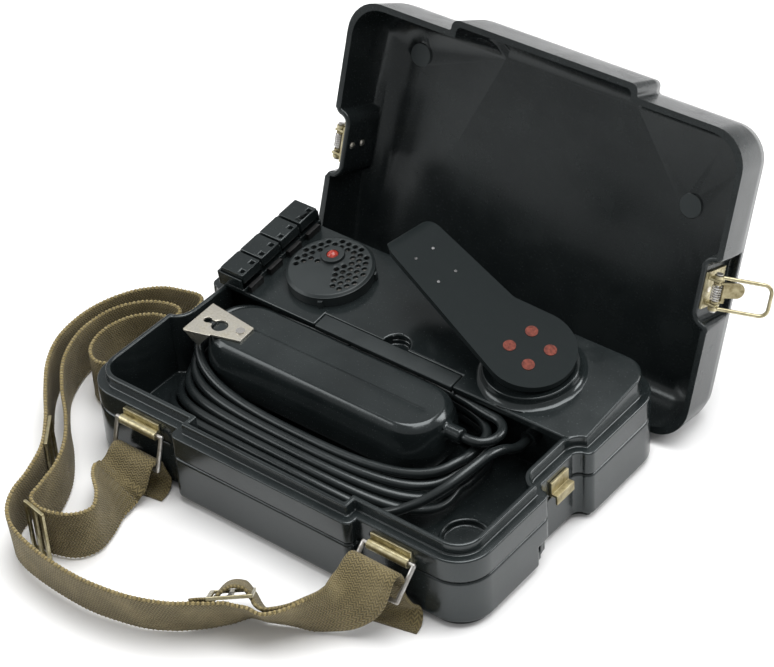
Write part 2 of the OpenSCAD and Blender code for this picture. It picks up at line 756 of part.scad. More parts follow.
// Crank's plate with a lip turned down at its tip
module crank_arm() {
    color(panel_black) on_crank() difference() {
        union() {
            translate([0, 0, -crank_t / 2]) linear_extrude(crank_t) crank_outline();
            translate([0, 0, -crank_t / 2 - 3.5]) linear_extrude(4) intersection() {
                difference() {
                    union() {
                        translate([crank_len - 9, 7.5]) circle(9);
                        translate([crank_len - 9, -2]) circle(9);
                        translate([crank_len - 9, -2]) square([9, 9.5]);
                    }
                    translate([crank_len - 9, 7.5]) circle(6.5);
                    translate([crank_len - 9, -2]) circle(6.5);
                    translate([crank_len - 18, -2]) square([15.5, 9.5]);
                }
                translate([crank_len - 9, -30]) square([20, 60]);
            }
        }
        at_rivets() translate([0, 0, -5]) cylinder(r = 3, h = 10);
        at_pins() translate([0, 0, -5]) cylinder(r = 0.75, h = 10, $fn = 24);
    }
}

// Red rivets that hold the plate on the shaft's head
module crank_rivets() {
    color(signal_red) on_crank() at_rivets() {
        translate([0, 0, -crank_t / 2]) cylinder(r = 2.95, h = crank_t + 0.3);
    }
}

// Bracket riveted under the plate, with the knob's axle
module knob_bracket() {
    color(steel) on_crank() {
        at_pins() translate([0, 0, -crank_t / 2 - 0.5]) cylinder(r = 0.7, h = crank_t + 0.7, $fn = 24);
        translate([knob_at[0], knob_at[1], -crank_t / 2 - 1.5]) {
            translate([-10.5, -7, 0]) cube([21, 14, 1.5]);
            translate([0, 0, -knob_h - 1]) cylinder(r = 2, h = knob_h + 1.5);
            translate([0, 0, -knob_h - 1.6]) cylinder(r = 3.2, h = 1);
        }
    }
}

// Finger knob that turns on its axle
module crank_knob() {
    color(case_black) on_crank() translate([knob_at[0], knob_at[1], -crank_t / 2 - 1.8 - knob_h]) {
        difference() {
            union() {
                translate([0, 0, 1]) cylinder(r = knob_r, h = knob_h - 1);
                cylinder(r1 = knob_r - 1, r2 = knob_r, h = 1.01);
            }
            translate([0, 0, -1]) cylinder(r = 2.2, h = knob_h + 2);
        }
    }
}

// Spur gear: teeth, bore and height
module spur(teeth, bore, h) {
    rp = gear_module * teeth / 2;
    root = rp - 1.2 * gear_module;
    pitch = PI * gear_module;
    linear_extrude(h) difference() {
        union() {
            circle(root, $fn = 64);
            for (i = [0 : teeth - 1]) {
                rotate([0, 0, 360 * i / teeth]) polygon([[root - 0.4, -0.27 * pitch], [rp, -0.18 * pitch],
                    [rp + 0.7 * gear_module, -0.09 * pitch], [rp + 0.7 * gear_module, 0.09 * pitch],
                    [rp, 0.18 * pitch], [root - 0.4, 0.27 * pitch]]);
            }
        }
        circle(bore);
    }
}

// Gear on the crank's shaft
module drive_gear() {
    color(brass) on_panel() translate([crank_x, crank_v, -13.5]) spur(gear_teeth, shaft_r, 3);
}

// Frame of the generator, hung from the panel
module generator_frame() {
    color(steel) on_panel() difference() {
        union() {
            translate([rotor_x - 14, crank_v - 11, -9.5]) cube([crank_x - rotor_x + 32, 24, 2.5]);
            for (x = [crank_x + 15, rotor_x - 11], y = [crank_v - 8, crank_v + 10]) {
                translate([x, y, -7.5]) cylinder(r = 2.2, h = 7.5 - panel_t);
            }
            for (y = [crank_v - 9, crank_v + 9]) {
                translate([rotor_x - 9, y, -16]) cylinder(r = 2, h = 7);
            }
        }
        translate([crank_x, crank_v, -20]) cylinder(r = shaft_r + shaft_gap, h = 20);
        translate([rotor_x, crank_v, -20]) cylinder(r = rotor_shaft_r + shaft_gap, h = 20);
    }
}

// Magnet block around the rotor
module generator_magnet() {
    color(panel_black) on_panel() difference() {
        translate([rotor_x - 13, crank_v - 12, -34]) cube([26, 24, 18]);
        translate([rotor_x, crank_v, -40]) cylinder(r = 9.5, h = 30);
    }
}

// Rotor on its shaft
module generator_rotor() {
    color(brass) on_panel() translate([rotor_x, crank_v, 0]) difference() {
        union() {
            translate([0, 0, -33]) cylinder(r = 9, h = 16);
            translate([0, 0, -33.8]) cylinder(r = rotor_shaft_r, h = 26.6);
        }
        for (s = [-1, 1]) {
            translate([s * 8, 0, -25]) cube([5, 7, 20], center = true);
        }
    }
}

// Pinion on the rotor's shaft
module rotor_pinion() {
    color(brass) on_panel() translate([rotor_x, crank_v, -13.8]) rotate([0, 0, 180 / pinion_teeth]) {
        spur(pinion_teeth, rotor_shaft_r, 3.6);
    }
}

// Gland in the well's back wall
module cord_gland() {
    color(case_black) translate([gland_at[0], well_back, gland_at[1]]) rotate([90, 0, 0]) {
        cylinder(r = gland_r, h = gland_len);
        translate([0, 0, -well_t - 0.6]) cylinder(r = 3, h = well_t + 1);
        translate([0, 0, -well_t - 1.8]) cylinder(r = gland_r, h = 1.8);
    }
}

// Place of the cord in its winding at a turn
function spread(a) = pow(max(0, (-sin(a) - wind_spread) / (1 - wind_spread)), 1.4);
function bent(v, a) = sign(v) * pow(abs(v), wind_power[sin(a) < 0 ? 0 : 1]);
function winding(a) = let (k = a / 360, f = 1 - spread(a), out = wind_step * k * cos(90 * f))
    [wind_at[0] + (wind_a + out) * bent(cos(a), a),
        wind_at[1] + ((sin(a) < 0 ? wind_front : wind_back) + out) * bent(sin(a), a),
        wind_z + wind_lift * f + wind_crest * max(0, sin(a)) - wind_drop * k * sin(90 * f)];
cord_path = concat([[57, -6, 38.5]],
    [for (a = [-90 : 18 : 72]) cord_loop + cord_loop_r * [cos(a), sin(a), 0]],
    smooth(cord_start, 3), [for (a = [wind_from : 15 : wind_to]) winding(a)],
    smooth(cord_end, 3), [[76, 17, 30]]);

echo(cord_gap = least_gap(cord_path, 9) - cord_d);

// Cord wound around the handset
module handset_cord() {
    color(panel_black) tube(cord_path, cord_d / 2, 8, [0.02, 0.03, 1]);
}

// Back shell of the handset with its cord boss and long groove
module handset_back() {
    h = handset_z - handset_seam;
    w = handset_w;
    l = handset_l;
    color(case_black) translate([hand_x, hand_y, 0]) difference() {
        union() {
            hull($fn = 32) {
                slab(l, w, 0.45 * w, handset_seam);
                slab(l - 1.5, w - 1.5, 0.44 * w, handset_seam + 0.5 * h);
                slab(l - 5, w - 5, 0.4 * w, handset_seam + 0.85 * h);
                slab(l - 10, w - 10, 0.36 * w, handset_z - 0.1);
            }
            translate([l / 2 - 8, boss_at[0] - hand_y, boss_at[1]]) rotate([0, 90, 0]) {
                cylinder(r = cord_boss_r, h = 57 - hand_x - l / 2 + 8);
            }
        }
        hull($fn = 32) {
            slab(l - 2 * handset_wall, w - 2 * handset_wall, 0.4 * w, handset_seam - 0.1);
            slab(l - 6 - 2 * handset_wall, w - 6 - 2 * handset_wall, 0.34 * w, handset_z - handset_wall - 0.1);
        }
        translate([-l / 2 + 12, -1.1, handset_z - 0.8]) cube([l - 24, 1.2, 2]);
    }
}

// Front shell of the handset
module handset_front() {
    w = handset_w;
    l = handset_l;
    color(case_black) translate([hand_x, hand_y, 0]) difference() {
        hull($fn = 32) {
            slab(l, w, 0.45 * w, handset_seam - 0.1);
            slab(l - 1.5, w - 1.5, 0.44 * w, cap_z + 4);
            slab(l - 7, w - 3.5, 0.4 * w, cap_z);
        }
        hull($fn = 32) {
            slab(l - 2 * handset_wall, w - 2 * handset_wall, 0.4 * w, handset_seam + 0.1);
            slab(l - 9 - 2 * handset_wall, w - 5 - 2 * handset_wall, 0.36 * w, cap_z + handset_wall);
        }
    }
}

// Perforated cap over a handset capsule
module handset_cap(x, holes) {
    z = well_z + slide_gap;
    color(case_black) translate([x, hand_y, 0]) difference() {
        translate([0, 0, z]) cylinder(r = earcap_r, h = cap_z - z);
        translate([0, 0, z + 2]) cylinder(r = earcap_r - 2, h = cap_z);
        for (i = [0 : holes - 1]) {
            rotate([0, 0, 360 * i / holes]) translate([7, 0, z - 1]) cylinder(r = 1.4, h = 5, $fn = 24);
        }
        translate([0, 0, z - 1]) cylinder(r = 1.4, h = 5, $fn = 24);
    }
}
module ear_cap() {
    handset_cap(ear_x, 6);
}
module mouth_cap() {
    handset_cap(mouth_x, 9);
}

// Capsules inside the caps
module handset_capsule(x) {
    color(steel) translate([x, hand_y, well_z + slide_gap + 2]) {
        cylinder(r = earcap_r - 2.3, h = cap_z - well_z - slide_gap - 2);
    }
}
module receiver_capsule() {
    handset_capsule(ear_x);
}
module microphone_capsule() {
    handset_capsule(mouth_x);
}

// Spring clip on the handset's back, with a keyhole and a bent leg
module handset_clip() {
    color(plate_silver) difference() {
        union() {
            translate([0, 0, handset_z]) linear_extrude(clip_t) {
                polygon([[-91, -4.5], [-62.5, -8], [-61.5, -19], [-90, -27]]);
            }
            translate([-89.6, -26.6, handset_z + clip_t]) rotate([0, 0, 15.5]) rotate([90, 0, 0]) {
                linear_extrude(clip_t) polygon([[0, 0], [14, 0], [7, -8]]);
            }
        }
        translate([-77, -15.6, handset_z - 1]) cylinder(r = 4, h = 4);
        translate([-84.6, -15.4, handset_z - 1]) cylinder(r = 2, h = 4);
        translate([-84.6, -16.6, handset_z - 1]) cube([5, 2.4, 4]);
        translate([clip_screw_at[0], clip_screw_at[1], handset_z - 1]) cylinder(r = 1.3, h = 4);
    }
}

// Screw through the clip
module clip_screw() {
    color(steel) translate([clip_screw_at[0], clip_screw_at[1], handset_z]) {
        cylinder(r = 1.2, h = clip_t);
        translate([0, 0, clip_t]) cylinder(r = 2.2, h = 0.7);
    }
}

// Rounded form of the lid, drawn in by an inset
module lid_form(inset, drop) {
    hull($fn = 32) for (l = lid_layers) {
        t = l[1] + inset;
        slab(case_w - 2 * t, case_d - 2 * t, max(corner_r - 0.4 * t, 5), -max(l[0] - drop, 0.05));
    }
    hull($fn = 32) for (l = lid_layers) {
        t = l[1] + inset;
        translate([0, bulge_t - t + case_d / 2 - 20, 0]) {
            slab(bulge_w - 2 * t, 40, max(bulge_r - 0.4 * t, 1), -max(l[0] - drop, 0.05));
        }
    }
}

// Box over each latch recess of the lid
module lid_recess(grow) {
    translate([0, 0, -latch_depth - grow]) linear_extrude(latch_depth + 2 + grow) side_recesses(grow);
}

// Lid shell, standing behind the case on its long edge
module lid_shell() {
    color(case_black) on_lid() difference() {
        union() {
            difference() {
                lid_form(0, 0);
                difference() {
                    translate([0, 0, 0.06]) lid_form(wall, wall);
                    lid_recess(wall);
                }
            }
            translate([-86, 48, -lid_depth + wall - 0.5]) cylinder(r = 6, h = 1.3);
            translate([75, 25, -lid_depth + wall - 0.5]) cylinder(r = 6, h = 1.3);
        }
        lid_recess(0);
        for (s = [-1, 1], w = [-5, -13]) {
            translate([s * (case_w / 2 - recess_d - wall / 2), 0, w]) rotate([0, 90, 0]) {
                cylinder(r = 1.45, h = 12, center = true);
            }
        }
    }
}

// Rivets that hold the latch plates
module lid_rivets() {
    color(brass) for (s = [-1, 1]) {
        on_latch(s) for (w = [-5, -13]) {
            translate([-wall, 0, w]) rotate([0, 90, 0]) cylinder(r = 1.4, h = wall + 1.2);
            intersection() {
                translate([-wall + 1.35, 0, w]) sphere(r = 2.25);
                translate([-wall - 2, 0, w]) rotate([0, 90, 0]) cylinder(r = 2, h = 2);
            }
        }
    }
}

// Latch plate with two ears for the pin
module latch_plate(s) {
    color(brass) on_latch(s) difference() {
        union() {
            translate([0, -9, -17]) cube([1.2, 18, 16]);
            for (e = [-1, 1]) {
                translate([0.5, e * (ear_u + ear_t / 2) - ear_t / 2, pin_in - 2.2]) {
                    cube([pin_out + 1.5, ear_t, 4.4]);
                }
            }
        }
        translate([pin_out, 0, pin_in]) rotate([90, 0, 0]) cylinder(r = pin_r + 0.05, h = 40, center = true);
        for (w = [-5, -13]) {
            translate([0, 0, w]) rotate([0, 90, 0]) cylinder(r = 1.45, h = 10, center = true);
        }
    }
}
module latch_plate_left() {
    latch_plate(-1);
}
module latch_plate_right() {
    latch_plate(1);
}

// Pins through the latch plates
module latch_pins() {
    color(steel) for (s = [-1, 1]) {
        on_latch(s) translate([pin_out, 0, pin_in]) rotate([90, 0, 0]) {
            cylinder(r = pin_r, h = 2 * pin_half, center = true);
            for (e = [-1, 1]) {
                translate([0, 0, e * (pin_half + 0.3)]) cylinder(r = pin_r + 0.7, h = 0.6, center = true);
            }
        }
    }
}

echo(spring_gap = 2 * spring_half / spring_turns - 0.7);

// Spring wound around a latch pin
module latch_spring(s) {
    color(steel) on_latch(s) {
        tube([for (i = [0 : 8 * spring_turns]) [pin_out + 2.1 * cos(45 * i),
            -spring_half + 2 * spring_half * i / (8 * spring_turns), pin_in + 2.1 * sin(45 * i)]], 0.35, 6, [0, 1, 0]);
    }
}
module latch_spring_left() {
    latch_spring(-1);
}
module latch_spring_right() {
    latch_spring(1);
}

// Wire bail that hooks over the catch, with rounded corners
module latch_bail(s) {
    far = bail_len - bail_bend;
    color(brass) on_latch(s) translate([pin_out, 0, pin_in]) rotate([0, bail_rest[s < 0 ? 0 : 1], 0]) difference() {
        union() {
            for (e = [-1, 1]) {
                translate([0, e * bail_u, 0]) rotate([90, 0, 0]) cylinder(r = 2.2, h = 1.6, center = true);
                translate([0, e * bail_u, 0]) rotate([0, 90, 0]) cylinder(r = bail_r, h = far);
                translate([far, e * (bail_u - bail_bend), 0]) rotate([0, 0, e < 0 ? -90 : 0]) {
                    rotate_extrude(angle = 90) translate([bail_bend, 0]) circle(bail_r, $fn = 24);
                }
            }
            translate([bail_len, 0, 0]) rotate([90, 0, 0]) {
                cylinder(r = bail_r, h = 2 * (bail_u - bail_bend), center = true);
            }
        }
        rotate([90, 0, 0]) cylinder(r = pin_r + eye_gap, h = 40, center = true);
    }
}
module latch_bail_left() {
    latch_bail(-1);
}
module latch_bail_right() {
    latch_bail(1);
}

// Thumb tab that turns on the same pin, with a round tongue
module latch_tab(s) {
    v = tab_u + 0.6 - tab_w / 2;
    color(brass) on_latch(s) translate([pin_out, 0, pin_in]) rotate([0, tab_rest[s < 0 ? 0 : 1], 0]) difference() {
        union() {
            for (e = [-1, 1]) {
                translate([0, e * tab_u, 0]) rotate([90, 0, 0]) cylinder(r = 1.9, h = 1.2, center = true);
                translate([0, e * tab_u - 0.6, -0.6]) cube([4, 1.2, 1.2]);
            }
            translate([2.9, -tab_u - 0.6, -0.6]) cube([1.6, 2 * tab_u + 1.2, 1.2]);
            translate([0, 0, -0.6]) linear_extrude(1.2) {
                translate([4, v - tab_w / 2]) square([tab_len - tab_w / 2 - 4, tab_w]);
                translate([tab_len - tab_w / 2, v]) circle(tab_w / 2);
            }
        }
        rotate([90, 0, 0]) cylinder(r = pin_r + eye_gap, h = 40, center = true);
    }
}
module latch_tab_left() {
    latch_tab(-1);
}
module latch_tab_right() {
    latch_tab(1);
}

// Sleeves on the front wall that carry the strap rings
module strap_brackets() {
    color(plate_silver) for (x = ring_x) {
        translate([x, 0, 0]) difference() {
            union() {
                translate([-11, -case_d / 2 - 1.2, ring_z - 3]) cube([22, 1.2, 8]);
                translate([0, ring_y, ring_z]) rotate([0, 90, 0]) cylinder(r = 2.4, h = 22, center = true);
            }
            translate([0, ring_y, ring_z]) rotate([0, 90, 0]) cylinder(r = ring_r + 0.2, h = 30, center = true);
        }
    }
}

// Wire ring that swings in its sleeve
module strap_ring(i) {
    color(steel) on_ring(i) {
        for (s = [-1, 1]) {
            translate([s * ring_w / 2, 0, -ring_leg]) cylinder(r = ring_r, h = ring_leg);
            translate([s * ring_w / 2, 0, -ring_leg]) sphere(r = ring_r);
            translate([s * ring_w / 2, 0, 0]) sphere(r = ring_r);
        }
        for (z = [0, -ring_leg]) {
            translate([0, 0, z]) rotate([0, 90, 0]) cylinder(r = ring_r, h = ring_w, center = true);
        }
    }
}
module strap_ring_left() {
    strap_ring(0);
}
module strap_ring_right() {
    strap_ring(1);
}

// Loop of webbing sewn around a ring
module strap_loop(i) {
    color(webbing) on_ring(i) translate([0, 0, -ring_leg]) rotate([0, 90, 0]) difference() {
        cylinder(r = ring_r + 0.3 + strap_t, h = ring_w - 2 * ring_r - 0.8, center = true);
        cylinder(r = ring_r + 0.3, h = ring_w, center = true);
    }
}
module strap_loop_left() {
    strap_loop(0);
}
module strap_loop_right() {
    strap_loop(1);
}

// Webbing strap standing on its edge before the case
module strap() {
    color(webbing) translate([0, -case_d / 2, 0]) ribbon(strap_route, strap_w, strap_t);
}

// Folded tails of the strap
module strap_tails() {
    color(webbing) translate([0, -case_d / 2, 0]) for (route = tail_routes) {
        ribbon(route, strap_w - 6, strap_t);
    }
}

// Flat slides on the strap, each with two windows
module strap_slides() {
    color(brass) translate([0, -case_d / 2, 0]) for (p = slide_places) {
        translate([p[0], p[1], p[2]]) rotate([0, 0, p[3]]) rotate([p[5], 0, 0]) {
            translate([0, -strap_t / 2 - 1.2, p[6]]) difference() {
                cube([p[4], 1.6, 28], center = true);
                for (s = [-1, 1]) {
                    translate([s * (p[4] / 4 - 0.5), 0, 0]) cube([p[4] / 2 - 3, 4, 24.5], center = true);
                }
            }
        }
    }
}

lower_case();
upper_case();
case_seal();
case_screws();
catch_left();
catch_right();
battery_cover();
battery();
sounder_cap();
sounder_capsule();
signal_lamp();
terminal_block();
terminal_contacts();
terminal_key_1();
terminal_key_2();
terminal_key_3();
terminal_key_4();
circuit_board();
transformer();
capacitor();
crank_bush();
crank_shaft();
crank_arm();
crank_rivets();
knob_bracket();
crank_knob();
generator_frame();
generator_magnet();
drive_gear();
generator_rotor();
rotor_pinion();
cord_gland();
handset_cord();
handset_back();
handset_front();
handset_clip();
clip_screw();
ear_cap();
mouth_cap();
receiver_capsule();
microphone_capsule();
lid_shell();
lid_rivets();
latch_plate_left();
latch_plate_right();
latch_pins();
latch_spring_left();
latch_spring_right();
latch_bail_left();
latch_bail_right();
latch_tab_left();
latch_tab_right();
strap_brackets();
strap_ring_left();
strap_ring_right();
strap_loop_left();
strap_loop_right();
strap();
strap_tails();
strap_slides();
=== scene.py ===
import bpy
import bmesh
import math
from mathutils import Matrix, Vector


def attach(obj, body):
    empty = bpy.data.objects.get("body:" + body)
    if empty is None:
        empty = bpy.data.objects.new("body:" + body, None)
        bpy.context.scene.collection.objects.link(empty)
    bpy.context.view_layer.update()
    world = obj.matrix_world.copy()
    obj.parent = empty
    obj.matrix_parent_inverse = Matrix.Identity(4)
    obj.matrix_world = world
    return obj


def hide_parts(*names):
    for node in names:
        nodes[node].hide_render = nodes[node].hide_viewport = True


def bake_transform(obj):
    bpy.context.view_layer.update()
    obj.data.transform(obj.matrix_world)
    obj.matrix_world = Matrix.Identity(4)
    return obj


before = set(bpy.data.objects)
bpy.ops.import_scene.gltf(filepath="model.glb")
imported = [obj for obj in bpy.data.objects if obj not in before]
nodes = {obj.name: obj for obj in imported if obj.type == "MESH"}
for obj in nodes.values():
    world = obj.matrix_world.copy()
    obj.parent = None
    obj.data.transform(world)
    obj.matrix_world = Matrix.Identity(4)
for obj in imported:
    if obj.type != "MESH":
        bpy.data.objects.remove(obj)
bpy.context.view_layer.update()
mm = 0.001
print("frame loaded:", len(nodes), "nodes")


def metres(point):
    return tuple(v * mm for v in point)


def linked(name, data):
    item = bpy.data.objects.new(name, data)
    bpy.context.scene.collection.objects.link(item)
    return item


# camera at the photo's view, in degrees, millimetres and pixels; the clip distances are in metres
photoView = {"azimuth": 40.55, "elevation": 38.42, "roll": -3.81, "distance": 1137.79,
             "target": (-15.0, 31.33, 40.0), "focalPixels": 2435.65, "frameWidth": 774, "sensor": 36.0,
             "clip": (0.01, 20)}


def placeCamera(view):
    turn, lift, roll = (math.radians(view[k]) for k in ("azimuth", "elevation", "roll"))
    back = Vector((math.sin(turn) * math.cos(lift), -math.cos(turn) * math.cos(lift), math.sin(lift)))
    right = Vector((math.cos(turn), math.sin(turn), 0))
    up = back.cross(right)
    tiltedRight = right * math.cos(roll) + up * math.sin(roll)
    tiltedUp = up * math.cos(roll) - right * math.sin(roll)
    data = bpy.data.cameras.new("photoCamera")
    data.sensor_fit = "HORIZONTAL"
    data.sensor_width = view["sensor"]
    data.lens = view["sensor"] * view["focalPixels"] / view["frameWidth"]
    data.clip_start, data.clip_end = view["clip"]
    pose = Matrix((tiltedRight, tiltedUp, back)).transposed().to_4x4()
    pose.translation = (Vector(view["target"]) + back * view["distance"]) * mm
    camera = linked("photoCamera", data)
    camera.matrix_world = pose
    bpy.context.scene.camera = camera


placeCamera(photoView)


# shader sockets as Python values
class Wire:
    def __init__(self, tree, socket):
        self.tree = tree
        self.socket = socket

    def make(self, kind, settings=None, sockets=None, out=0):
        node = self.tree.nodes.new("ShaderNode" + kind)
        for key, value in (settings or {}).items():
            setattr(node, key, value)
        for key, value in (sockets or {}).items():
            if isinstance(value, Wire):
                self.tree.links.new(value.socket, node.inputs[key])
            else:
                node.inputs[key].default_value = value
        return Wire(self.tree, node.outputs[out])

    def maths(self, operation, first, second):
        return self.make("Math", {"operation": operation}, {0: first, 1: second})

    def __add__(self, other):
        return self.maths("ADD", self, other)

    def __radd__(self, other):
        return self.maths("ADD", other, self)

    def __sub__(self, other):
        return self.maths("SUBTRACT", self, other)

    def __rsub__(self, other):
        return self.maths("SUBTRACT", other, self)

    def __mul__(self, other):
        return self.maths("MULTIPLY", self, other)

    def __rmul__(self, other):
        return self.maths("MULTIPLY", other, self)

    def sine(self):
        return self.maths("SINE", self, 0.0)

    def pingpong(self, span):
        return self.maths("PINGPONG", self, span)

    def clamp(self, low, high, toLow=0.0, toHigh=1.0):
        return self.make("MapRange", {"clamp": True}, {"Value": self, "From Min": low, "From Max": high,
                                                       "To Min": toLow, "To Max": toHigh})

    def noise(self, scale, detail, rough):
        return self.make("TexNoise", {}, {"Vector": self, "Scale": scale, "Detail": detail,
                                          "Roughness": rough})

    def part(self, axis):
        return self.make("SeparateXYZ", {}, {0: self}, axis)

    def mix(self, dark, light):
        return self.make("Mix", {"data_type": "RGBA"}, {0: self, 6: dark, 7: light}, 2)


def newMaterial(name, uv=False):
    material = bpy.data.materials.new(name)
    material.use_nodes = True
    tree = material.node_tree
    kind, output = ("UVMap", "UV") if uv else ("TexCoord", "Object")
    place = Wire(tree, tree.nodes.new("ShaderNode" + kind).outputs[output])
    return material, tree.nodes["Principled BSDF"], place


def finishShader(shader, place, colour, rough, bump=None, bumpDepth=0.0, metal=0.0):
    links = place.tree.links
    for socket, value in (("Base Color", colour), ("Roughness", rough), ("Metallic", metal)):
        if isinstance(value, Wire):
            links.new(value.socket, shader.inputs[socket])
        else:
            shader.inputs[socket].default_value = value
    if bump is not None:
        raised = place.make("Bump", {}, {"Height": bump, "Distance": bumpDepth * mm, "Strength": 1.0})
        links.new(raised.socket, shader.inputs["Normal"])


def rgb(r, g, b):
    return (r, g, b, 1.0)


# black pressed moulding: glossy, with fine smudges, dust and a slight waviness
moulding = {"clouds": 28.0, "smears": 160.0, "specks": 1500.0, "waves": 55.0, "waveDepth": 0.14,
            "dust": (0.13, 0.14, 0.14), "tint": (0.93, 0.99, 1.0)}


def mouldedBlack(name, dark, light, gloss, spread=0.1, dust=0.25, shine=0.5):
    material, shader, place = newMaterial(name)
    cloud = place.noise(moulding["clouds"], 4.0, 0.6)
    smear = place.noise(moulding["smears"], 3.0, 0.55)
    specks = place.noise(moulding["specks"], 2.0, 0.6).clamp(0.66, 0.74)
    tone = cloud.clamp(0.3, 0.7).mix(rgb(*dark), rgb(*light))
    grit = (specks * dust).mix(tone, rgb(*moulding["dust"]))
    patches = cloud.clamp(0.3, 0.7, gloss - spread * 0.5, gloss + spread * 0.5)
    rough = patches + smear * (spread * 0.6) + specks * 0.2
    wave = place.noise(moulding["waves"], 2.0, 0.5) * 0.6 + smear * 0.2 + specks * 0.03
    finishShader(shader, place, grit, rough, wave, moulding["waveDepth"])
    shader.inputs["Specular IOR Level"].default_value = shine
    shader.inputs["Specular Tint"].default_value = rgb(*moulding["tint"])
    return material


# bright or tarnished metal
tarnish = {"stains": 240.0, "scratches": 2160.0, "depth": 0.05, "dulling": 0.22}


def wornMetal(name, bright, stain, gloss):
    material, shader, place = newMaterial(name)
    cloud = place.noise(tarnish["stains"], 4.0, 0.65)
    fine = place.noise(tarnish["scratches"], 2.0, 0.5)
    tone = cloud.clamp(0.4, 0.68).mix(rgb(*bright), rgb(*stain))
    rough = cloud.clamp(0.35, 0.7, gloss, gloss + tarnish["dulling"]) + fine * 0.08
    finishShader(shader, place, tone, rough, fine * 0.5 + cloud * 0.5, tarnish["depth"], metal=1.0)
    return material


# opaque paint or enamel dabbed on by hand
dabs = {"blotches": 700.0, "depth": 0.2, "dulling": 0.2}


def dabbedPaint(name, dark, light, gloss, shine):
    material, shader, place = newMaterial(name)
    cloud = place.noise(dabs["blotches"], 3.0, 0.6)
    tone = cloud.clamp(0.35, 0.65).mix(rgb(*dark), rgb(*light))
    rough = cloud.clamp(0.3, 0.7, gloss, gloss + dabs["dulling"])
    finishShader(shader, place, tone, rough, cloud, dabs["depth"])
    shader.inputs["Specular IOR Level"].default_value = shine
    return material


# woven webbing in chevrons: v runs along the band and u across it, both in metres
weave = {"rib": 1.4, "fold": 1.5, "slope": 0.85, "pick": 1.0, "depth": 0.5, "shift": 0.1,
         "olive": (0.190, 0.149, 0.060), "shade": (0.062, 0.048, 0.018), "pale": (0.29, 0.235, 0.115)}


def wovenWebbing(name, spec):
    material, shader, place = newMaterial(name, uv=True)
    across = place.part(0)
    along = place.part(1)
    cycle = 2 * math.pi / mm
    # the shift keeps every value across the band above nought
    zigzag = along + (across + spec["shift"]).pingpong(spec["fold"] * mm) * spec["slope"]
    ribs = (zigzag * (cycle / spec["rib"])).sine()
    picks = (across * (cycle / spec["pick"])).sine()
    yarn = (ribs * 0.7 + picks * 0.3) * 0.5 + 0.5
    patchy = place.noise(60.0, 4.0, 0.6)
    fibre = place.noise(2600.0, 2.0, 0.6)
    # the low parts of the weave, its grooves, are painted in the darker colour: painted shade in the grooves
    tone = yarn.clamp(0.15, 0.85).mix(rgb(*spec["shade"]), rgb(*spec["olive"]))
    faded = (patchy.clamp(0.45, 0.75) * 0.5).mix(tone, rgb(*spec["pale"]))
    hairy = (fibre.clamp(0.55, 0.75) * 0.35).mix(faded, rgb(*spec["pale"]))
    rough = 0.92 - yarn.clamp(0.0, 1.0) * 0.14
    finishShader(shader, place, hairy, rough, yarn + fibre * 0.35, spec["depth"])
    shader.inputs["Sheen Weight"].default_value = 0.1
    shader.inputs["Sheen Roughness"].default_value = 0.5
    return material


looks = {
    "case": mouldedBlack("pressedBlack", (0.007, 0.0095, 0.010), (0.014, 0.018, 0.0185),
                         gloss=0.17, dust=0.16, shine=0.55),
    # the lid's copy of the black moulding has darker colours than the case's: painted shade for the lid's
    # shaded inside
    "lid": mouldedBlack("shadedBlackLid", (0.0055, 0.0072, 0.0076), (0.011, 0.0137, 0.0141),
                        gloss=0.22, dust=0.1, shine=0.42),
    "panel": mouldedBlack("satinBlack", (0.009, 0.012, 0.0125), (0.016, 0.020, 0.0205),
                          gloss=0.38, spread=0.12, dust=0.15, shine=0.45),
    "crank": mouldedBlack("dullBlack", (0.008, 0.0108, 0.0112), (0.012, 0.0152, 0.0156),
                          gloss=0.5, spread=0.12, dust=0.12, shine=0.07),
    "inside": mouldedBlack("hiddenBlack", (0.02, 0.02, 0.02), (0.03, 0.03, 0.03), gloss=0.5),
    "disc": mouldedBlack("discGrey", (0.016, 0.021, 0.022), (0.026, 0.032, 0.033), gloss=0.5, dust=0.1),
    "cord": mouldedBlack("cordSheath", (0.006, 0.008, 0.0085), (0.012, 0.015, 0.0155),
                         gloss=0.24, spread=0.12, dust=0.08),
    "seal": mouldedBlack("sealRubber", (0.010, 0.011, 0.011), (0.016, 0.018, 0.018), gloss=0.7),
    "brass": wornMetal("oldBrass", (0.36, 0.32, 0.20), (0.20, 0.165, 0.085), gloss=0.27),
    "nickel": wornMetal("dullNickel", (0.74, 0.71, 0.63), (0.46, 0.43, 0.35), gloss=0.25),
    "yellowed": wornMetal("yellowedPlate", (0.50, 0.455, 0.30), (0.28, 0.24, 0.13), gloss=0.24),
    "steel": wornMetal("plainSteel", (0.56, 0.55, 0.53), (0.30, 0.28, 0.25), gloss=0.27),
    "dimSteel": wornMetal("dimSteel", (0.10, 0.10, 0.10), (0.03, 0.03, 0.03), gloss=0.32),
    "red": dabbedPaint("redEnamel", (0.085, 0.018, 0.012), (0.19, 0.050, 0.034), gloss=0.42, shine=0.12),
    "lamp": dabbedPaint("redLens", (0.24, 0.020, 0.012), (0.40, 0.050, 0.035), gloss=0.12, shine=0.5),
    "board": dabbedPaint("boardLacquer", (0.06, 0.10, 0.04), (0.10, 0.15, 0.06), gloss=0.35, shine=0.5),
    "webbing": wovenWebbing("oliveWebbing", weave),
    "thread": dabbedPaint("edgeThread", (0.20, 0.155, 0.065), (0.34, 0.28, 0.15), gloss=0.8, shine=0.1),
}
print("materials:", len(looks))

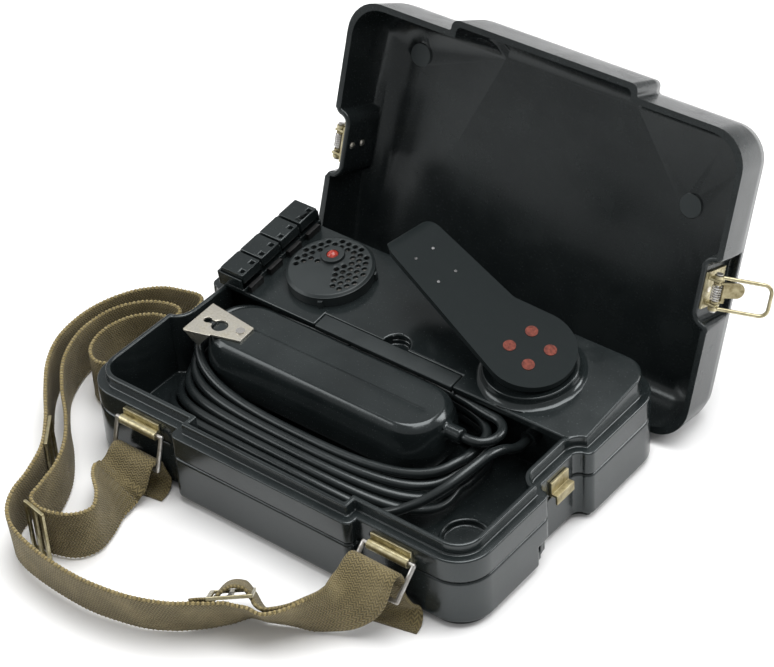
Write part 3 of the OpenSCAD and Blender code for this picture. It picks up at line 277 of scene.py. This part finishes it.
nodeLooks = {
    "case": ["lower_case", "upper_case", "handset_back", "handset_front", "ear_cap", "mouth_cap",
             "terminal_block", "terminal_key_1", "terminal_key_2", "terminal_key_3", "terminal_key_4",
             "crank_knob", "cord_gland"],
    "lid": ["lid_shell"],
    "panel": ["battery_cover", "sounder_cap"],
    "crank": ["crank_arm", "crank_shaft"],
    "inside": ["generator_magnet", "capacitor"],
    "seal": ["case_seal"],
    "cord": ["handset_cord"],
    "brass": ["catch_left", "catch_right", "crank_bush", "drive_gear", "generator_rotor",
              "rotor_pinion", "latch_tab_left", "latch_tab_right"],
    "nickel": ["handset_clip", "lid_rivets"],
    "yellowed": ["strap_brackets", "latch_plate_left", "latch_plate_right", "latch_bail_left",
                 "latch_bail_right", "strap_slides"],
    "steel": ["case_screws", "battery", "sounder_capsule", "transformer", "generator_frame",
              "clip_screw", "receiver_capsule", "microphone_capsule", "latch_pins",
              "latch_spring_left", "latch_spring_right", "strap_ring_left", "strap_ring_right"],
    "dimSteel": ["knob_bracket", "terminal_contacts"],
    "red": ["crank_rivets"],
    "lamp": ["signal_lamp"],
    "board": ["circuit_board"],
    "webbing": ["strap", "strap_tails", "strap_loop_left", "strap_loop_right"],
}
for look, names in nodeLooks.items():
    for name in names:
        slots = nodes[name].data.materials
        slots.clear()
        slots.append(looks[look])


# a smooth curve through all the points
def smoothRoute(points, steps):
    path = []
    for i in range(len(points) - 1):
        a, b, c, d = (Vector(points[max(0, min(len(points) - 1, i + k))]) for k in (-1, 0, 1, 2))
        for s in range(steps):
            t = s / steps
            path.append(0.5 * (2 * b + (c - a) * t + (2 * a - 5 * b + 4 * c - d) * t * t
                               + (3 * b - a - 3 * c + d) * t ** 3))
    path.append(Vector(points[-1]))
    return path


def addPiece(name, verts, faces, look, uvs=None, smooth=True):
    mesh = bpy.data.meshes.new(name)
    mesh.from_pydata([tuple(v) for v in verts], [], faces)
    if uvs:
        layer = mesh.uv_layers.new(name="UVMap")
        for polygon in mesh.polygons:
            for loop, vert in zip(polygon.loop_indices, uvs[polygon.index]):
                layer.data[loop].uv = vert
    mesh.polygons.foreach_set("use_smooth", [smooth] * len(mesh.polygons))
    mesh.materials.append(looks[look])
    mesh.validate()
    return linked(name, mesh)


def settleMesh(piece):
    view = bpy.context.evaluated_depsgraph_get()
    mesh = bpy.data.meshes.new_from_object(piece.evaluated_get(view))
    piece.modifiers.clear()
    piece.data = mesh


# cord wound around the handset, from the handset's boss to the gland
winding = {"middle": (-14, -9), "halfLength": 77, "front": 24.5, "back": 25.5, "height": 28, "lift": 10.4,
           "crest": 1.0, "step": 5.4, "drop": 5.2, "first": 75, "last": 1740, "turnStep": 5,
           "power": (0.77, 0.45), "spread": 0.2, "spreadPower": 1.4, "radius": 2.3, "sides": 14,
           "loop": (60.8, 3.2, 38.5), "loopRadius": 9.2, "loopArc": (-90, 90, 9),
           "routeSteps": 6, "pathSteps": 2, "spacing": 2.0}
cordBoss = [(57, -6, 38.5), (59, -6, 38.5)]
cordStart = [(60.8, 12.4, 38.5), (56.6, 12.7, 38.5), (52.4, 13.2, 38.4), (48.2, 13.9, 38.3), (44, 14.7, 38.2)]
cordEnd = [(54, -49.5, 25.5), (62, -43, 30), (69, -33, 35.2), (73.2, -21, 39), (75, -10, 39.8),
           (76, -1.5, 37.2), (76, 4.5, 33.1), (76, 9.2, 30.8), (76, 12.4, 30.1), (76, 14.6, 30)]
cordGland = [(76, 16, 30), (76, 17, 30)]


# the turns lie spread out in front of the handset and stacked behind it
def windingPoint(spec, degrees):
    a = math.radians(degrees)
    turns = degrees / 360
    spread = max(0.0, (-math.sin(a) - spec["spread"]) / (1 - spec["spread"])) ** spec["spreadPower"]
    stacked = 1 - spread
    out = spec["step"] * turns * math.cos(math.pi / 2 * stacked)
    power = spec["power"][0 if math.sin(a) < 0 else 1]
    half = spec["front"] if math.sin(a) < 0 else spec["back"]

    def bent(v):
        return math.copysign(abs(v) ** power, v)

    return Vector((spec["middle"][0] + (spec["halfLength"] + out) * bent(math.cos(a)),
                   spec["middle"][1] + (half + out) * bent(math.sin(a)),
                   spec["height"] + spec["lift"] * stacked + spec["crest"] * max(0.0, math.sin(a))
                   - spec["drop"] * turns * math.sin(math.pi / 2 * stacked)))


def evenPath(points, spacing):
    reached = [0.0]
    for a, b in zip(points, points[1:]):
        reached.append(reached[-1] + (b - a).length)
    count = max(2, round(reached[-1] / spacing))
    path, k = [], 0
    for i in range(count + 1):
        want = reached[-1] * i / count
        while k < len(points) - 2 and reached[k + 1] < want:
            k += 1
        span = reached[k + 1] - reached[k]
        path.append(points[k].lerp(points[k + 1], min(1.0, (want - reached[k]) / span if span else 0)))
    return path


def tubePiece(name, path, radius, sides, look):
    verts, faces, uvs = [], [], []
    anyOther = Vector((0.1, 0.2, 1))  # any direction that the path doesn't start in
    side = (path[1] - path[0]).cross(anyOther).normalized()
    run = 0.0
    runs = []
    for i, point in enumerate(path):
        ahead = (path[min(i + 1, len(path) - 1)] - path[max(i - 1, 0)]).normalized()
        side = (side - ahead * side.dot(ahead)).normalized()
        other = ahead.cross(side)
        if i:
            run += (point - path[i - 1]).length
        runs.append(run)
        for j in range(sides):
            angle = 2 * math.pi * j / sides
            verts.append((point + (side * math.cos(angle) + other * math.sin(angle)) * radius) * mm)
    girth = 2 * math.pi * radius * mm
    for i in range(len(path) - 1):
        v0, v1 = runs[i] * mm, runs[i + 1] * mm
        for j in range(sides):
            a, b = i * sides + j, i * sides + (j + 1) % sides
            faces.append((a, b, b + sides, a + sides))
            u0, u1 = girth * j / sides, girth * (j + 1) / sides
            uvs.append(((u0, v0), (u1, v0), (u1, v1), (u0, v1)))
    last = (len(path) - 1) * sides
    faces.append(tuple(reversed(range(sides))))
    faces.append(tuple(range(last, last + sides)))
    uvs += [((0, 0),) * sides] * 2
    return addPiece(name, verts, faces, look, uvs), run


def loopPoint(spec, degrees):
    a = math.radians(degrees)
    return Vector(spec["loop"]) + spec["loopRadius"] * Vector((math.cos(a), math.sin(a), 0))


coarse = [Vector(p) for p in cordBoss]
coarse += [loopPoint(winding, d) for d in range(*winding["loopArc"])]
coarse += smoothRoute(cordStart, winding["routeSteps"])[:-1]
turnAngles = range(winding["first"], winding["last"] + 1, winding["turnStep"])
coarse += [windingPoint(winding, d) for d in turnAngles]
coarse += smoothRoute(cordEnd, winding["routeSteps"]) + [Vector(p) for p in cordGland]
cordPath = evenPath(smoothRoute(coarse, winding["pathSteps"]), winding["spacing"])
# the cord is cut into the lead and the turns where it first passes endX; still and lifted are two points in
# metres
lead = {"endX": 38, "still": (0.0375, 0.015, 0.0385), "lifted": (0.0568, 0.015, 0.0385)}
leadEnd = next(i for i, p in enumerate(cordPath) if p.x < lead["endX"])
cordRuns = {"cordLead": cordPath[:leadEnd + 1], "handsetCord": cordPath[leadEnd:]}
cordLength = 0.0
for pieceName, run in cordRuns.items():
    piece, length = tubePiece(pieceName, run, winding["radius"], winding["sides"], "cord")
    cordLength += length
    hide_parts("handset_cord")
    if pieceName == "cordLead":
        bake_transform(piece)
    else:
        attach(piece, "case")
    tuple(run[0] * mm)
    length * mm
    [tuple(p * mm) for p in run]
print("cord:", round(cordLength), "mm")


# webbing strap: a place and the direction across the band at each point
band = {"width": 26.4, "returnWidth": 23.6, "tailWidth": 23.0, "thick": 1.8, "steps": 8, "across": 8,
        "floorGap": 0.1, "standing": (14.5, 0, 0, -1)}
# the left end comes up behind its ring's bar, over it and down, and twists until it stands on its edge
leftWrap = [
    (-73.5, -78.2, 12.2, 1, 0, 0), (-73.5, -78.6, 15.4, 1, 0, 0), (-73.5, -80.6, 18.2, 1, 0, 0),
    (-73.5, -83.4, 19.0, 1, 0, 0), (-73.6, -86.2, 17.2, 1, 0, 0), (-73.8, -88.8, 13.6, 0.99, 0, -0.1),
    (-73.9, -92.2, 11.0, 0.95, 0.05, -0.3)]
leftTwist = [
    (-73.5, -97, 10.8, 0.8, 0.1, -0.6), (-69, -106, 13.5, 0.45, 0.2, -0.87),
    (-61, -117, 14.5, 0.15, 0.1, -0.98)]
standingRun = [
    (-57, -127), (-62, -136), (-74, -140.5), (-84, -138), (-87, -129), (-91, -115), (-99, -101), (-112, -87),
    (-127, -74), (-141, -58), (-149, -38), (-148, -18), (-140, -5), (-130, 1), (-122, 2), (-118.5, -1.5),
    (-121, -6), (-129, -9), (-137, -18), (-140, -32), (-136, -45), (-127, -51), (-119, -47), (-116, -36),
    (-115, -20), (-114.5, 0), (-115, 10), (-119, 15), (-127, 14), (-140, 9), (-151, -4), (-157, -24),
    (-155, -46), (-146, -64), (-132, -80), (-117, -95), (-105, -110), (-98, -126), (-94.2, -139.3)]
# along the front it leans back
leaningRun = [
    (-87.3, -149.2, 14.5, 0, 0.04, -1), (-76.2, -155.2, 14.35, 0.01, 0.11, -0.99),
    (-57.2, -158.6, 14.2, 0.01, 0.18, -0.98), (-35.2, -159.4, 14.1, -0.01, 0.22, -0.98),
    (-18.5, -157.1, 13.9, -0.06, 0.25, -0.97), (-5, -153.6, 13.9, -0.1, 0.26, -0.96),
    (6.6, -147.8, 13.7, -0.18, 0.27, -0.95), (13.7, -142.5, 13.6, -0.23, 0.26, -0.94),
    (20, -137, 13.3, -0.29, 0.26, -0.92), (25.4, -131.3, 13, -0.34, 0.29, -0.9),
    (32.1, -126.3, 13.4, -0.41, 0.44, -0.79), (39.5, -123.8, 12.2, -0.34, 0.52, -0.78),
    (47.4, -118.7, 12.7, -0.27, 0.44, -0.86), (54.6, -113.3, 13.6, -0.08, 0.28, -0.96)]
# the right end turns flat on its way up over its ring's bar
rightWrap = [
    (60.4, -108.1, 15, 0.12, 0.2, -0.97), (64.8, -104.3, 17, 0.34, 0.14, -0.93),
    (67.6, -101.2, 19.6, 0.56, 0.08, -0.82), (69.4, -98.6, 22.6, 0.78, 0.04, -0.62),
    (70.4, -96.2, 25.8, 0.92, 0, -0.38), (70.8, -94, 28.9, 0.98, 0, -0.18), (71, -91.6, 31.6, 1, 0, -0.05),
    (71, -88.4, 32.8, 1, 0, 0), (71.1, -85.6, 31, 1, 0, 0), (71.2, -84.2, 27, 1, 0, 0),
    (71.4, -83.8, 22.4, 1, 0, 0)]
strapRoute = (leftWrap + leftTwist + [place + band["standing"] for place in standingRun]
              + leaningRun + rightWrap)
# the layer that comes back from the ring, over the right slide's middle bar
returnRoute = [
    (12.5, -141, 14.3, -0.23, 0.26, -0.94), (14.6, -135.6, 15.2, -0.38, 0.43, -0.82),
    (17, -130.8, 16.6, -0.48, 0.56, -0.68), (18.6, -127, 19.6, -0.51, 0.6, -0.62),
    (20.9, -123.4, 21.3, -0.51, 0.6, -0.62), (25, -120.4, 20.6, -0.51, 0.6, -0.62),
    (28.6, -119.9, 17.6, -0.5, 0.6, -0.62), (33.2, -121.2, 14.9, -0.44, 0.57, -0.69),
    (38.8, -122.1, 13.7, -0.34, 0.52, -0.78), (46.4, -117.1, 13.7, -0.27, 0.44, -0.86),
    (53.5, -111.7, 14.2, -0.08, 0.28, -0.96), (59.2, -106.5, 15.2, 0.12, 0.2, -0.97),
    (63.5, -102.9, 17, 0.34, 0.14, -0.93)]
# loose folds that hang down behind the rings
tailRoutes = {
    "strapTailLeft": [
        (-72.6, -77.6, 12.6, 1, 0, 0), (-71.6, -77.4, 8.5, 1, 0, 0), (-70, -78.4, 3.6, 1, 0.05, 0),
        (-68.5, -82.5, 1.3, 1, 0.1, 0), (-67.5, -88, 1.1, 1, 0.1, 0)],
    "strapTailRight": [
        (71.4, -83.8, 22.6, 1, 0, 0), (72.4, -82.6, 15, 1, 0, 0), (74.2, -81.4, 8, 0.99, 0.08, 0),
        (76.4, -81.2, 3.2, 0.98, 0.18, 0), (78.4, -84, 1.15, 0.97, 0.24, 0), (79.4, -88, 1.0, 0.97, 0.24, 0)]}
strapPieces = []


def smoothBand(points, steps):
    places = smoothRoute([p[:3] for p in points], steps)
    directions = smoothRoute([p[3:] for p in points], steps)
    return list(zip(places, directions))


def bandFrame(path, i):
    point, wide = path[i]
    ahead = (path[min(i + 1, len(path) - 1)][0] - path[max(i - 1, 0)][0]).normalized()
    face = ahead.cross(wide).normalized()
    return point, face, face.cross(ahead).normalized()


# section of the band: a flat loop with round edges
def bandSection(width):
    thick, across = band["thick"], band["across"]
    half, edge = width / 2, thick / 2
    bends = (math.pi / 4, math.pi / 2, 3 * math.pi / 4)
    section = [(-half + edge + (width - thick) * k / across, edge) for k in range(across + 1)]
    section += [(half - edge * (1 - math.sin(t)), edge * math.cos(t)) for t in bends]
    section += [(half - edge - (width - thick) * k / across, -edge) for k in range(across + 1)]
    section += [(-half + edge * (1 - math.sin(t)), -edge * math.cos(t)) for t in bends]
    return section


def bandPiece(name, node, path, first, last, width, begin=0.0):
    verts, faces, uvs, runs = [], [], [], [begin]
    section = bandSection(width)
    count = len(section)
    for i in range(first, last + 1):
        point, face, cross = bandFrame(path, i)
        if i > first:
            runs.append(runs[-1] + (point - path[i - 1][0]).length)
        for s, t in section:
            spot = point + cross * s + face * t
            spot.z = max(spot.z, band["floorGap"])
            verts.append(spot * mm)
    steps = last - first
    for i in range(steps):
        v0, v1 = runs[i] * mm, runs[i + 1] * mm
        for j in range(count):
            k = (j + 1) % count
            faces.append((i * count + j, (i + 1) * count + j, (i + 1) * count + k, i * count + k))
            u0, u1 = section[j][0] * mm, section[k][0] * mm
            uvs.append(((u0, v0), (u0, v1), (u1, v1), (u1, v0)))
    flat = [(s * mm, t * mm) for s, t in section]
    faces.append(tuple(range(count)))
    uvs.append(tuple(flat))
    faces.append(tuple(steps * count + j for j in reversed(range(count))))
    uvs.append(tuple(reversed(flat)))
    piece = addPiece(name, verts, faces, "webbing", uvs)
    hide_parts(node)
    length = runs[-1] - begin
    strapPieces.append((piece, length, width))
    return piece, length


# three lengths one after another; the outer two are listed with their rings, a still point and a swung one
strapParts = {"strapLeftEnd": ("strap_loop_left", "ring_left", (-73.5, -98, 11), (-73.5, -88, 15)),
              "carryingStrap": ("strap", None, None, None),
              "strapRightEnd": ("strap_loop_right", "ring_right", (61, -110, 15), (70, -96, 26))}
cuts = (0, len(leftWrap), len(strapRoute) - len(rightWrap) - 1, len(strapRoute) - 1)
splits = [cut * band["steps"] for cut in cuts]
strapPath = smoothBand(strapRoute, band["steps"])
strapLength = 0.0
for index, (partName, (node, ring, still, swung)) in enumerate(strapParts.items()):
    piece, length = bandPiece(partName, node, strapPath, splits[index], splits[index + 1], band["width"],
                              strapLength)
    strapLength += length
    if ring:
        metres(still)
        metres(swung)
        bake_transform(piece)
    else:
        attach(piece, "case")
path = smoothBand(returnRoute, band["steps"])
returned, returnLength = bandPiece("strapReturn", "strap", path, 0, len(path) - 1, band["returnWidth"])
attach(returned, "case")
print("strap's second layer:", round(returnLength), "mm")
for tailName, route in tailRoutes.items():
    path = smoothBand(route, band["steps"])
    tail, tailLength = bandPiece(tailName, "strap_tails", path, 0, len(path) - 1, band["tailWidth"])
    top, foot = route[0][:3], route[-2][:3]
    metres(foot)
    metres(top)
    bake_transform(tail)
    print(tailName, round(tailLength), "mm")


# pale edge thread: one short stitch after another along both edges of the long band
stitches = {"spacing": 2.1, "length": 0.8, "inset": 0.55, "proud": 0.12, "floorGap": 1.1}


def stitchTree(material):
    tree = bpy.data.node_groups.new("edgeStitches", "GeometryNodeTree")
    face = tree.interface
    face.new_socket("Geometry", in_out="INPUT", socket_type="NodeSocketGeometry")
    sizes = {name: face.new_socket(name, in_out="INPUT", socket_type="NodeSocketFloat").identifier
             for name in ("Spacing", "Length", "Radius")}
    face.new_socket("Geometry", in_out="OUTPUT", socket_type="NodeSocketGeometry")

    def add(kind, values=None, **settings):
        node = tree.nodes.new(kind)
        for key, value in settings.items():
            setattr(node, key, value)
        for key, value in (values or {}).items():
            if isinstance(value, bpy.types.NodeSocket):
                tree.links.new(value, node.inputs[key])
            else:
                node.inputs[key].default_value = value
        return node.outputs

    entry = add("NodeGroupInput")
    curve = add("GeometryNodeMeshToCurve", {"Mesh": entry["Geometry"]})["Curve"]
    spots = add("GeometryNodeCurveToPoints", {"Curve": curve, "Length": entry["Spacing"]}, mode="LENGTH")
    thread = add("GeometryNodeMeshUVSphere", {"Segments": 6, "Rings": 4, "Radius": entry["Radius"]})["Mesh"]
    stretch = add("ShaderNodeMath", {0: entry["Length"], 1: entry["Radius"]}, operation="DIVIDE")[0]
    shape = add("ShaderNodeCombineXYZ", {0: 1.0, 1: 1.0, 2: stretch})[0]
    copies = add("GeometryNodeInstanceOnPoints", {"Points": spots["Points"], "Instance": thread,
                                                  "Rotation": spots["Rotation"], "Scale": shape})["Instances"]
    solid = add("GeometryNodeRealizeInstances", {"Geometry": copies})["Geometry"]
    dressed = add("GeometryNodeSetMaterial", {"Geometry": solid, "Material": material})["Geometry"]
    add("NodeGroupOutput", {"Geometry": dressed})
    return tree, sizes


def makeStitches(spec, path, first, last, look):
    verts, edges = [], []
    for side in (-1, 1):
        begin = len(verts)
        for i in range(first, last + 1):
            point, _, cross = bandFrame(path, i)
            spot = point + cross * side * (band["width"] / 2 - spec["inset"])
            spot.z = max(spot.z, spec["floorGap"])
            verts.append(spot * mm)
        edges += [(k, k + 1) for k in range(begin, len(verts) - 1)]
    mesh = bpy.data.meshes.new("strapStitches")
    mesh.from_pydata([tuple(v) for v in verts], edges, [])
    piece = linked("strapStitches", mesh)
    tree, sizes = stitchTree(looks[look])
    maker = piece.modifiers.new("stitches", "NODES")
    maker.node_group = tree
    radius = band["thick"] / 2 + spec["proud"]
    for name, value in (("Spacing", spec["spacing"]), ("Length", spec["length"]), ("Radius", radius)):
        maker[sizes[name]] = value * mm
    settleMesh(piece)
    return piece


edging = makeStitches(stitches, strapPath, splits[1], splits[2], "thread")
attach(edging, "case")
for piece, length, width in strapPieces:
    width * mm
    length * mm
print("strap:", round(strapLength), "mm")


def softenNormals(piece, angle):
    mesh = piece.data
    mesh.polygons.foreach_set("use_smooth", [True] * len(mesh.polygons))
    mesh.set_sharp_from_angle(angle=math.radians(angle))
    weight = piece.modifiers.new("weights", "WEIGHTED_NORMAL")
    weight.keep_sharp = True
    weight.weight = 80
    settleMesh(piece)


# moulded and pressed forms with their edges rounded off: angles in degrees, lengths in millimetres
edgeWork = {"merge": 0.004, "flat": 1.5, "sharp": 32, "shortest": 0.05, "room": 2.1, "speck": 0.002,
            "gapSides": 12, "crease": 40}


def roundEdges(form, size, segments):
    def roomy(edge):
        start, along = edge.verts[0].co, (edge.verts[1].co - edge.verts[0].co).normalized()
        for face in edge.link_faces:
            reach = max(((v.co - start) - along * (v.co - start).dot(along)).length for v in face.verts)
            if reach < size * edgeWork["room"]:
                return False
        return True

    sharp, shortest = math.radians(edgeWork["sharp"]), edgeWork["shortest"] * mm
    chosen = [e for e in form.edges if len(e.link_faces) == 2 and e.calc_face_angle(0) > sharp
              and e.calc_length() > shortest and roomy(e)]
    bmesh.ops.bevel(form, geom=chosen, offset=size, offset_type="OFFSET", segments=segments, profile=0.5,
                    affect="EDGES", clamp_overlap=False, loop_slide=True)


# faces with many sides become triangles that look the same way, and small gaps are closed
def fillFaces(form):
    for face in [f for f in form.faces if len(f.verts) > 4]:
        edges, normal = list(face.edges), face.normal.copy()
        bmesh.ops.delete(form, geom=[face], context="FACES_ONLY")
        filled = bmesh.ops.triangle_fill(form, edges=edges, use_beauty=True, use_dissolve=False,
                                         normal=normal)["geom"]
        for part in filled:
            if isinstance(part, bmesh.types.BMFace):
                part.normal_update()
                if part.normal.dot(normal) < 0:
                    part.normal_flip()
    bmesh.ops.dissolve_degenerate(form, dist=edgeWork["speck"] * mm, edges=form.edges)
    gaps = [e for e in form.edges if len(e.link_faces) == 1]
    bmesh.ops.holes_fill(form, edges=gaps, sides=edgeWork["gapSides"])


def roundedCopy(nodeName, body, look, width, segments):
    mesh = nodes[nodeName].data.copy()
    form = bmesh.new()
    form.from_mesh(mesh)
    bmesh.ops.remove_doubles(form, verts=form.verts, dist=edgeWork["merge"] * mm)
    volume = form.calc_volume()
    bmesh.ops.dissolve_limit(form, angle_limit=math.radians(edgeWork["flat"]), verts=form.verts,
                             edges=form.edges)
    roundEdges(form, width * mm, segments)
    fillFaces(form)
    # all faces are turned outwards together where that keeps the volume
    turned = form.copy()
    bmesh.ops.recalc_face_normals(turned, faces=turned.faces)
    if abs(turned.calc_volume() - volume) < abs(form.calc_volume() - volume):
        form, turned = turned, form
    turned.free()
    form.to_mesh(mesh)
    form.free()
    mesh.materials.clear()
    mesh.materials.append(looks[look])
    piece = linked(nodeName + ".round", mesh)
    softenNormals(piece, edgeWork["crease"])
    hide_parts(nodeName)
    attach(piece, body)


# body, look, slot, radius of the edges and steps around it
roundings = {
    "lower_case": ("case", "case", "moulding", 1.5, 3),
    "upper_case": ("case", "case", "moulding", 0.9, 3),
    "lid_shell": ("lid", "lid", "moulding", 1.1, 3),
    "handset_back": ("handset", "case", "moulding", 1.0, 3),
    "handset_front": ("handset", "case", "moulding", 1.0, 2),
    "battery_cover": ("cover", "panel", "dark_panel", 0.7, 2),
    "terminal_block": ("case", "case", "moulding", 0.25, 2),
    **{f"terminal_key_{k}": (f"key_{k}", "case", "moulding", 0.7, 2) for k in (1, 2, 3, 4)},
    "catch_left": ("case", "brass", "brass", 0.3, 2),
    "catch_right": ("case", "brass", "brass", 0.3, 2),
    "handset_clip": ("handset", "nickel", "plated", 0.2, 2),
    "strap_slides": ("case", "yellowed", "brass", 0.3, 2),
    "latch_tab_right": ("tab_right", "brass", "brass", 0.2, 2),
    "latch_tab_left": ("tab_left", "brass", "brass", 0.2, 2),
    "latch_plate_left": ("lid", "yellowed", "brass", 0.25, 2),
    "latch_plate_right": ("lid", "yellowed", "brass", 0.25, 2),
    "crank_knob": ("knob", "case", "moulding", 0.8, 2),
    "strap_brackets": ("case", "yellowed", "plated", 0.2, 2),
    "sounder_cap": ("case", "panel", "dark_panel", 0.3, 2),
}
for nodeName, (body, look, slotName, width, segments) in roundings.items():
    roundedCopy(nodeName, body, look, width, segments)
print("rounded:", len(roundings), "forms")


# crank's plate with its tip rolled down; its outline is measured from the shaft towards the tip
crankArm = {"hub": 21.5, "length": 86.0, "extra": 3.4, "thick": 3.6, "round": 12.5, "roll": 6.0,
            "topTip": 16.5, "lowTip": 11, "neck": (8, 26), "neckLow": (19.96, 12.5),
            "columns": 96, "rows": 14, "margin": 0.02,
            "edge": 0.9, "edgeSteps": 3, "edgeAngle": 50, "crease": 45,
            "place": (62, 26.2, 13.6), "turn": 165.5, "rise": 14, "panel": (0, 14, 44), "tilt": 6.3}


def crankEdges(spec, x):
    hub, corner = spec["hub"], spec["round"]
    tip = spec["length"] + spec["extra"] - corner
    ring = math.sqrt(max(hub * hub - x * x, 0))
    if x <= 0:
        return -ring, ring
    if x > tip:
        bow = math.sqrt(max(corner ** 2 - (x - tip) ** 2, 0))
        return corner - spec["lowTip"] - bow, spec["topTip"] - corner + bow
    top = max(ring, hub + (spec["topTip"] - hub) * x / tip)
    (near, far), (wide, narrow) = spec["neck"], spec["neckLow"]
    if x <= near:
        low = -ring
    elif x <= far:
        low = -wide + (wide - narrow) * (x - near) / (far - near)
    else:
        low = -narrow + (narrow - spec["lowTip"]) * (x - far) / (tip - far)
    return low, top


def makeCrankArm(spec):
    frameMatrix = (Matrix.Translation(spec["panel"]) @ Matrix.Rotation(math.radians(spec["tilt"]), 4, "X")
                   @ Matrix.Translation(spec["place"]) @ Matrix.Rotation(math.radians(spec["turn"]), 4, "Z")
                   @ Matrix.Rotation(math.radians(-spec["rise"]), 4, "Y"))
    low, high = -spec["hub"], spec["length"] + spec["extra"]
    roll, start = spec["roll"], spec["length"] - spec["roll"]
    verts, faces = [], []
    for i in range(spec["columns"] + 1):
        # columns crowd at both round ends
        x = low + (high - low) * (1 - math.cos(math.pi * i / spec["columns"])) / 2
        x = min(max(x, low + spec["margin"]), high - spec["margin"])
        bottom, top = crankEdges(spec, x)
        for j in range(spec["rows"] + 1):
            y = bottom + (top - bottom) * j / spec["rows"]
            if x > start:
                angle = (x - start) / roll
                point = Vector((start + roll * math.sin(angle), y, roll * (math.cos(angle) - 1)))
            else:
                point = Vector((x, y, 0))
            verts.append((frameMatrix @ point) * mm)
    across = spec["rows"] + 1
    for i in range(spec["columns"]):
        for j in range(spec["rows"]):
            a = i * across + j
            faces.append((a, a + across, a + across + 1, a + 1))
    piece = addPiece("crankPlate", verts, faces, "crank")
    solid = piece.modifiers.new("solid", "SOLIDIFY")
    solid.thickness = spec["thick"] * mm
    solid.offset = 0
    edge = piece.modifiers.new("edge", "BEVEL")
    edge.width = spec["edge"] * mm
    edge.segments = spec["edgeSteps"]
    edge.limit_method = "ANGLE"
    edge.angle_limit = math.radians(spec["edgeAngle"])
    settleMesh(piece)
    softenNormals(piece, spec["crease"])
    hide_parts("crank_arm")
    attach(piece, "crank")


makeCrankArm(crankArm)
print("crank plate rolled")


# grey discs stuck on the two low bosses inside the lid
lidDiscs = {"places": ((-86, 48), (75, 25)), "radius": 5.7, "thick": 0.3, "sunk": 0.2, "sides": 48,
            "depth": -29.2, "lid": (8.5, 100.465, 76.43), "lean": 19.2}


def makeDiscs(spec):
    onLid = Matrix.Translation(spec["lid"]) @ Matrix.Rotation(math.radians(90 - spec["lean"]), 4, "X")
    verts, faces, sides, radius = [], [], spec["sides"], spec["radius"]
    for x, y in spec["places"]:
        base = len(verts)
        for z in (spec["depth"] - spec["sunk"], spec["depth"] + spec["thick"]):
            for k in range(sides):
                a = 2 * math.pi * k / sides
                verts.append((onLid @ Vector((x + radius * math.cos(a), y + radius * math.sin(a), z))) * mm)
        top = base + sides
        faces.append(tuple(base + k for k in reversed(range(sides))))
        faces.append(tuple(top + k for k in range(sides)))
        for k in range(sides):
            after = (k + 1) % sides
            faces.append((base + k, base + after, top + after, top + k))
    piece = addPiece("lidDiscs", verts, faces, "disc", smooth=False)
    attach(piece, "lid")


makeDiscs(lidDiscs)
print("lid discs:", len(lidDiscs["places"]))


# floor, backdrop and soft light, in metres and watts
stageLook = {"floor": (0.91, 0.91, 0.91), "rough": 0.9, "shine": 0.1, "size": 6.0, "sky": 0.46}
softLamps = {
    "topSoftbox": {"place": (0.1, 0.2, 1.5), "aim": (0, 0, 0), "size": (1.4, 1.0), "watts": 26.0},
    "leftSoftbox": {"place": (-1.2, -0.9, 0.9), "aim": (0, 0, 0.05), "size": (0.9, 0.9), "watts": 9.0},
    "rearSoftbox": {"place": (0.9, 1.2, 0.9), "aim": (0, 0.05, 0.05), "size": (0.9, 0.6), "watts": 14.0},
}


def makeStage(spec):
    half = spec["size"] / 2
    mesh = bpy.data.meshes.new("studioFloor")
    corners = [(-half, -half, 0), (half, -half, 0), (half, half, 0), (-half, half, 0)]
    mesh.from_pydata(corners, [], [(0, 1, 2, 3)])
    floor = linked("studioFloor", mesh)
    material, shader, place = newMaterial("paperFloor")
    finishShader(shader, place, rgb(*spec["floor"]), spec["rough"])
    shader.inputs["Specular IOR Level"].default_value = spec["shine"]
    mesh.materials.append(material)
    world = bpy.data.worlds.new("studioWorld")
    bpy.context.scene.world = world
    world.use_nodes = True
    sky = world.node_tree
    # the camera sees plain white, the object is lit by a dimmer sky
    seen = Wire(sky, sky.nodes.new("ShaderNodeLightPath").outputs["Is Camera Ray"])
    glow = seen.clamp(0.0, 1.0, spec["sky"], 1.0)
    sky.links.new(glow.socket, sky.nodes["Background"].inputs["Strength"])
    sky.nodes["Background"].inputs["Color"].default_value = rgb(1, 1, 1)


def softLamp(name, spec):
    data = bpy.data.lights.new(name, "AREA")
    data.shape = "RECTANGLE"
    data.size, data.size_y = spec["size"]
    data.energy = spec["watts"]
    lamp = linked(name, data)
    lamp.location = spec["place"]
    lamp.rotation_euler = (Vector(spec["aim"]) - Vector(spec["place"])).to_track_quat("-Z", "Y").to_euler()


makeStage(stageLook)
for lampName, lampSpec in softLamps.items():
    softLamp(lampName, lampSpec)
bpy.context.scene.view_settings.view_transform = "Standard"
print("stage ready")
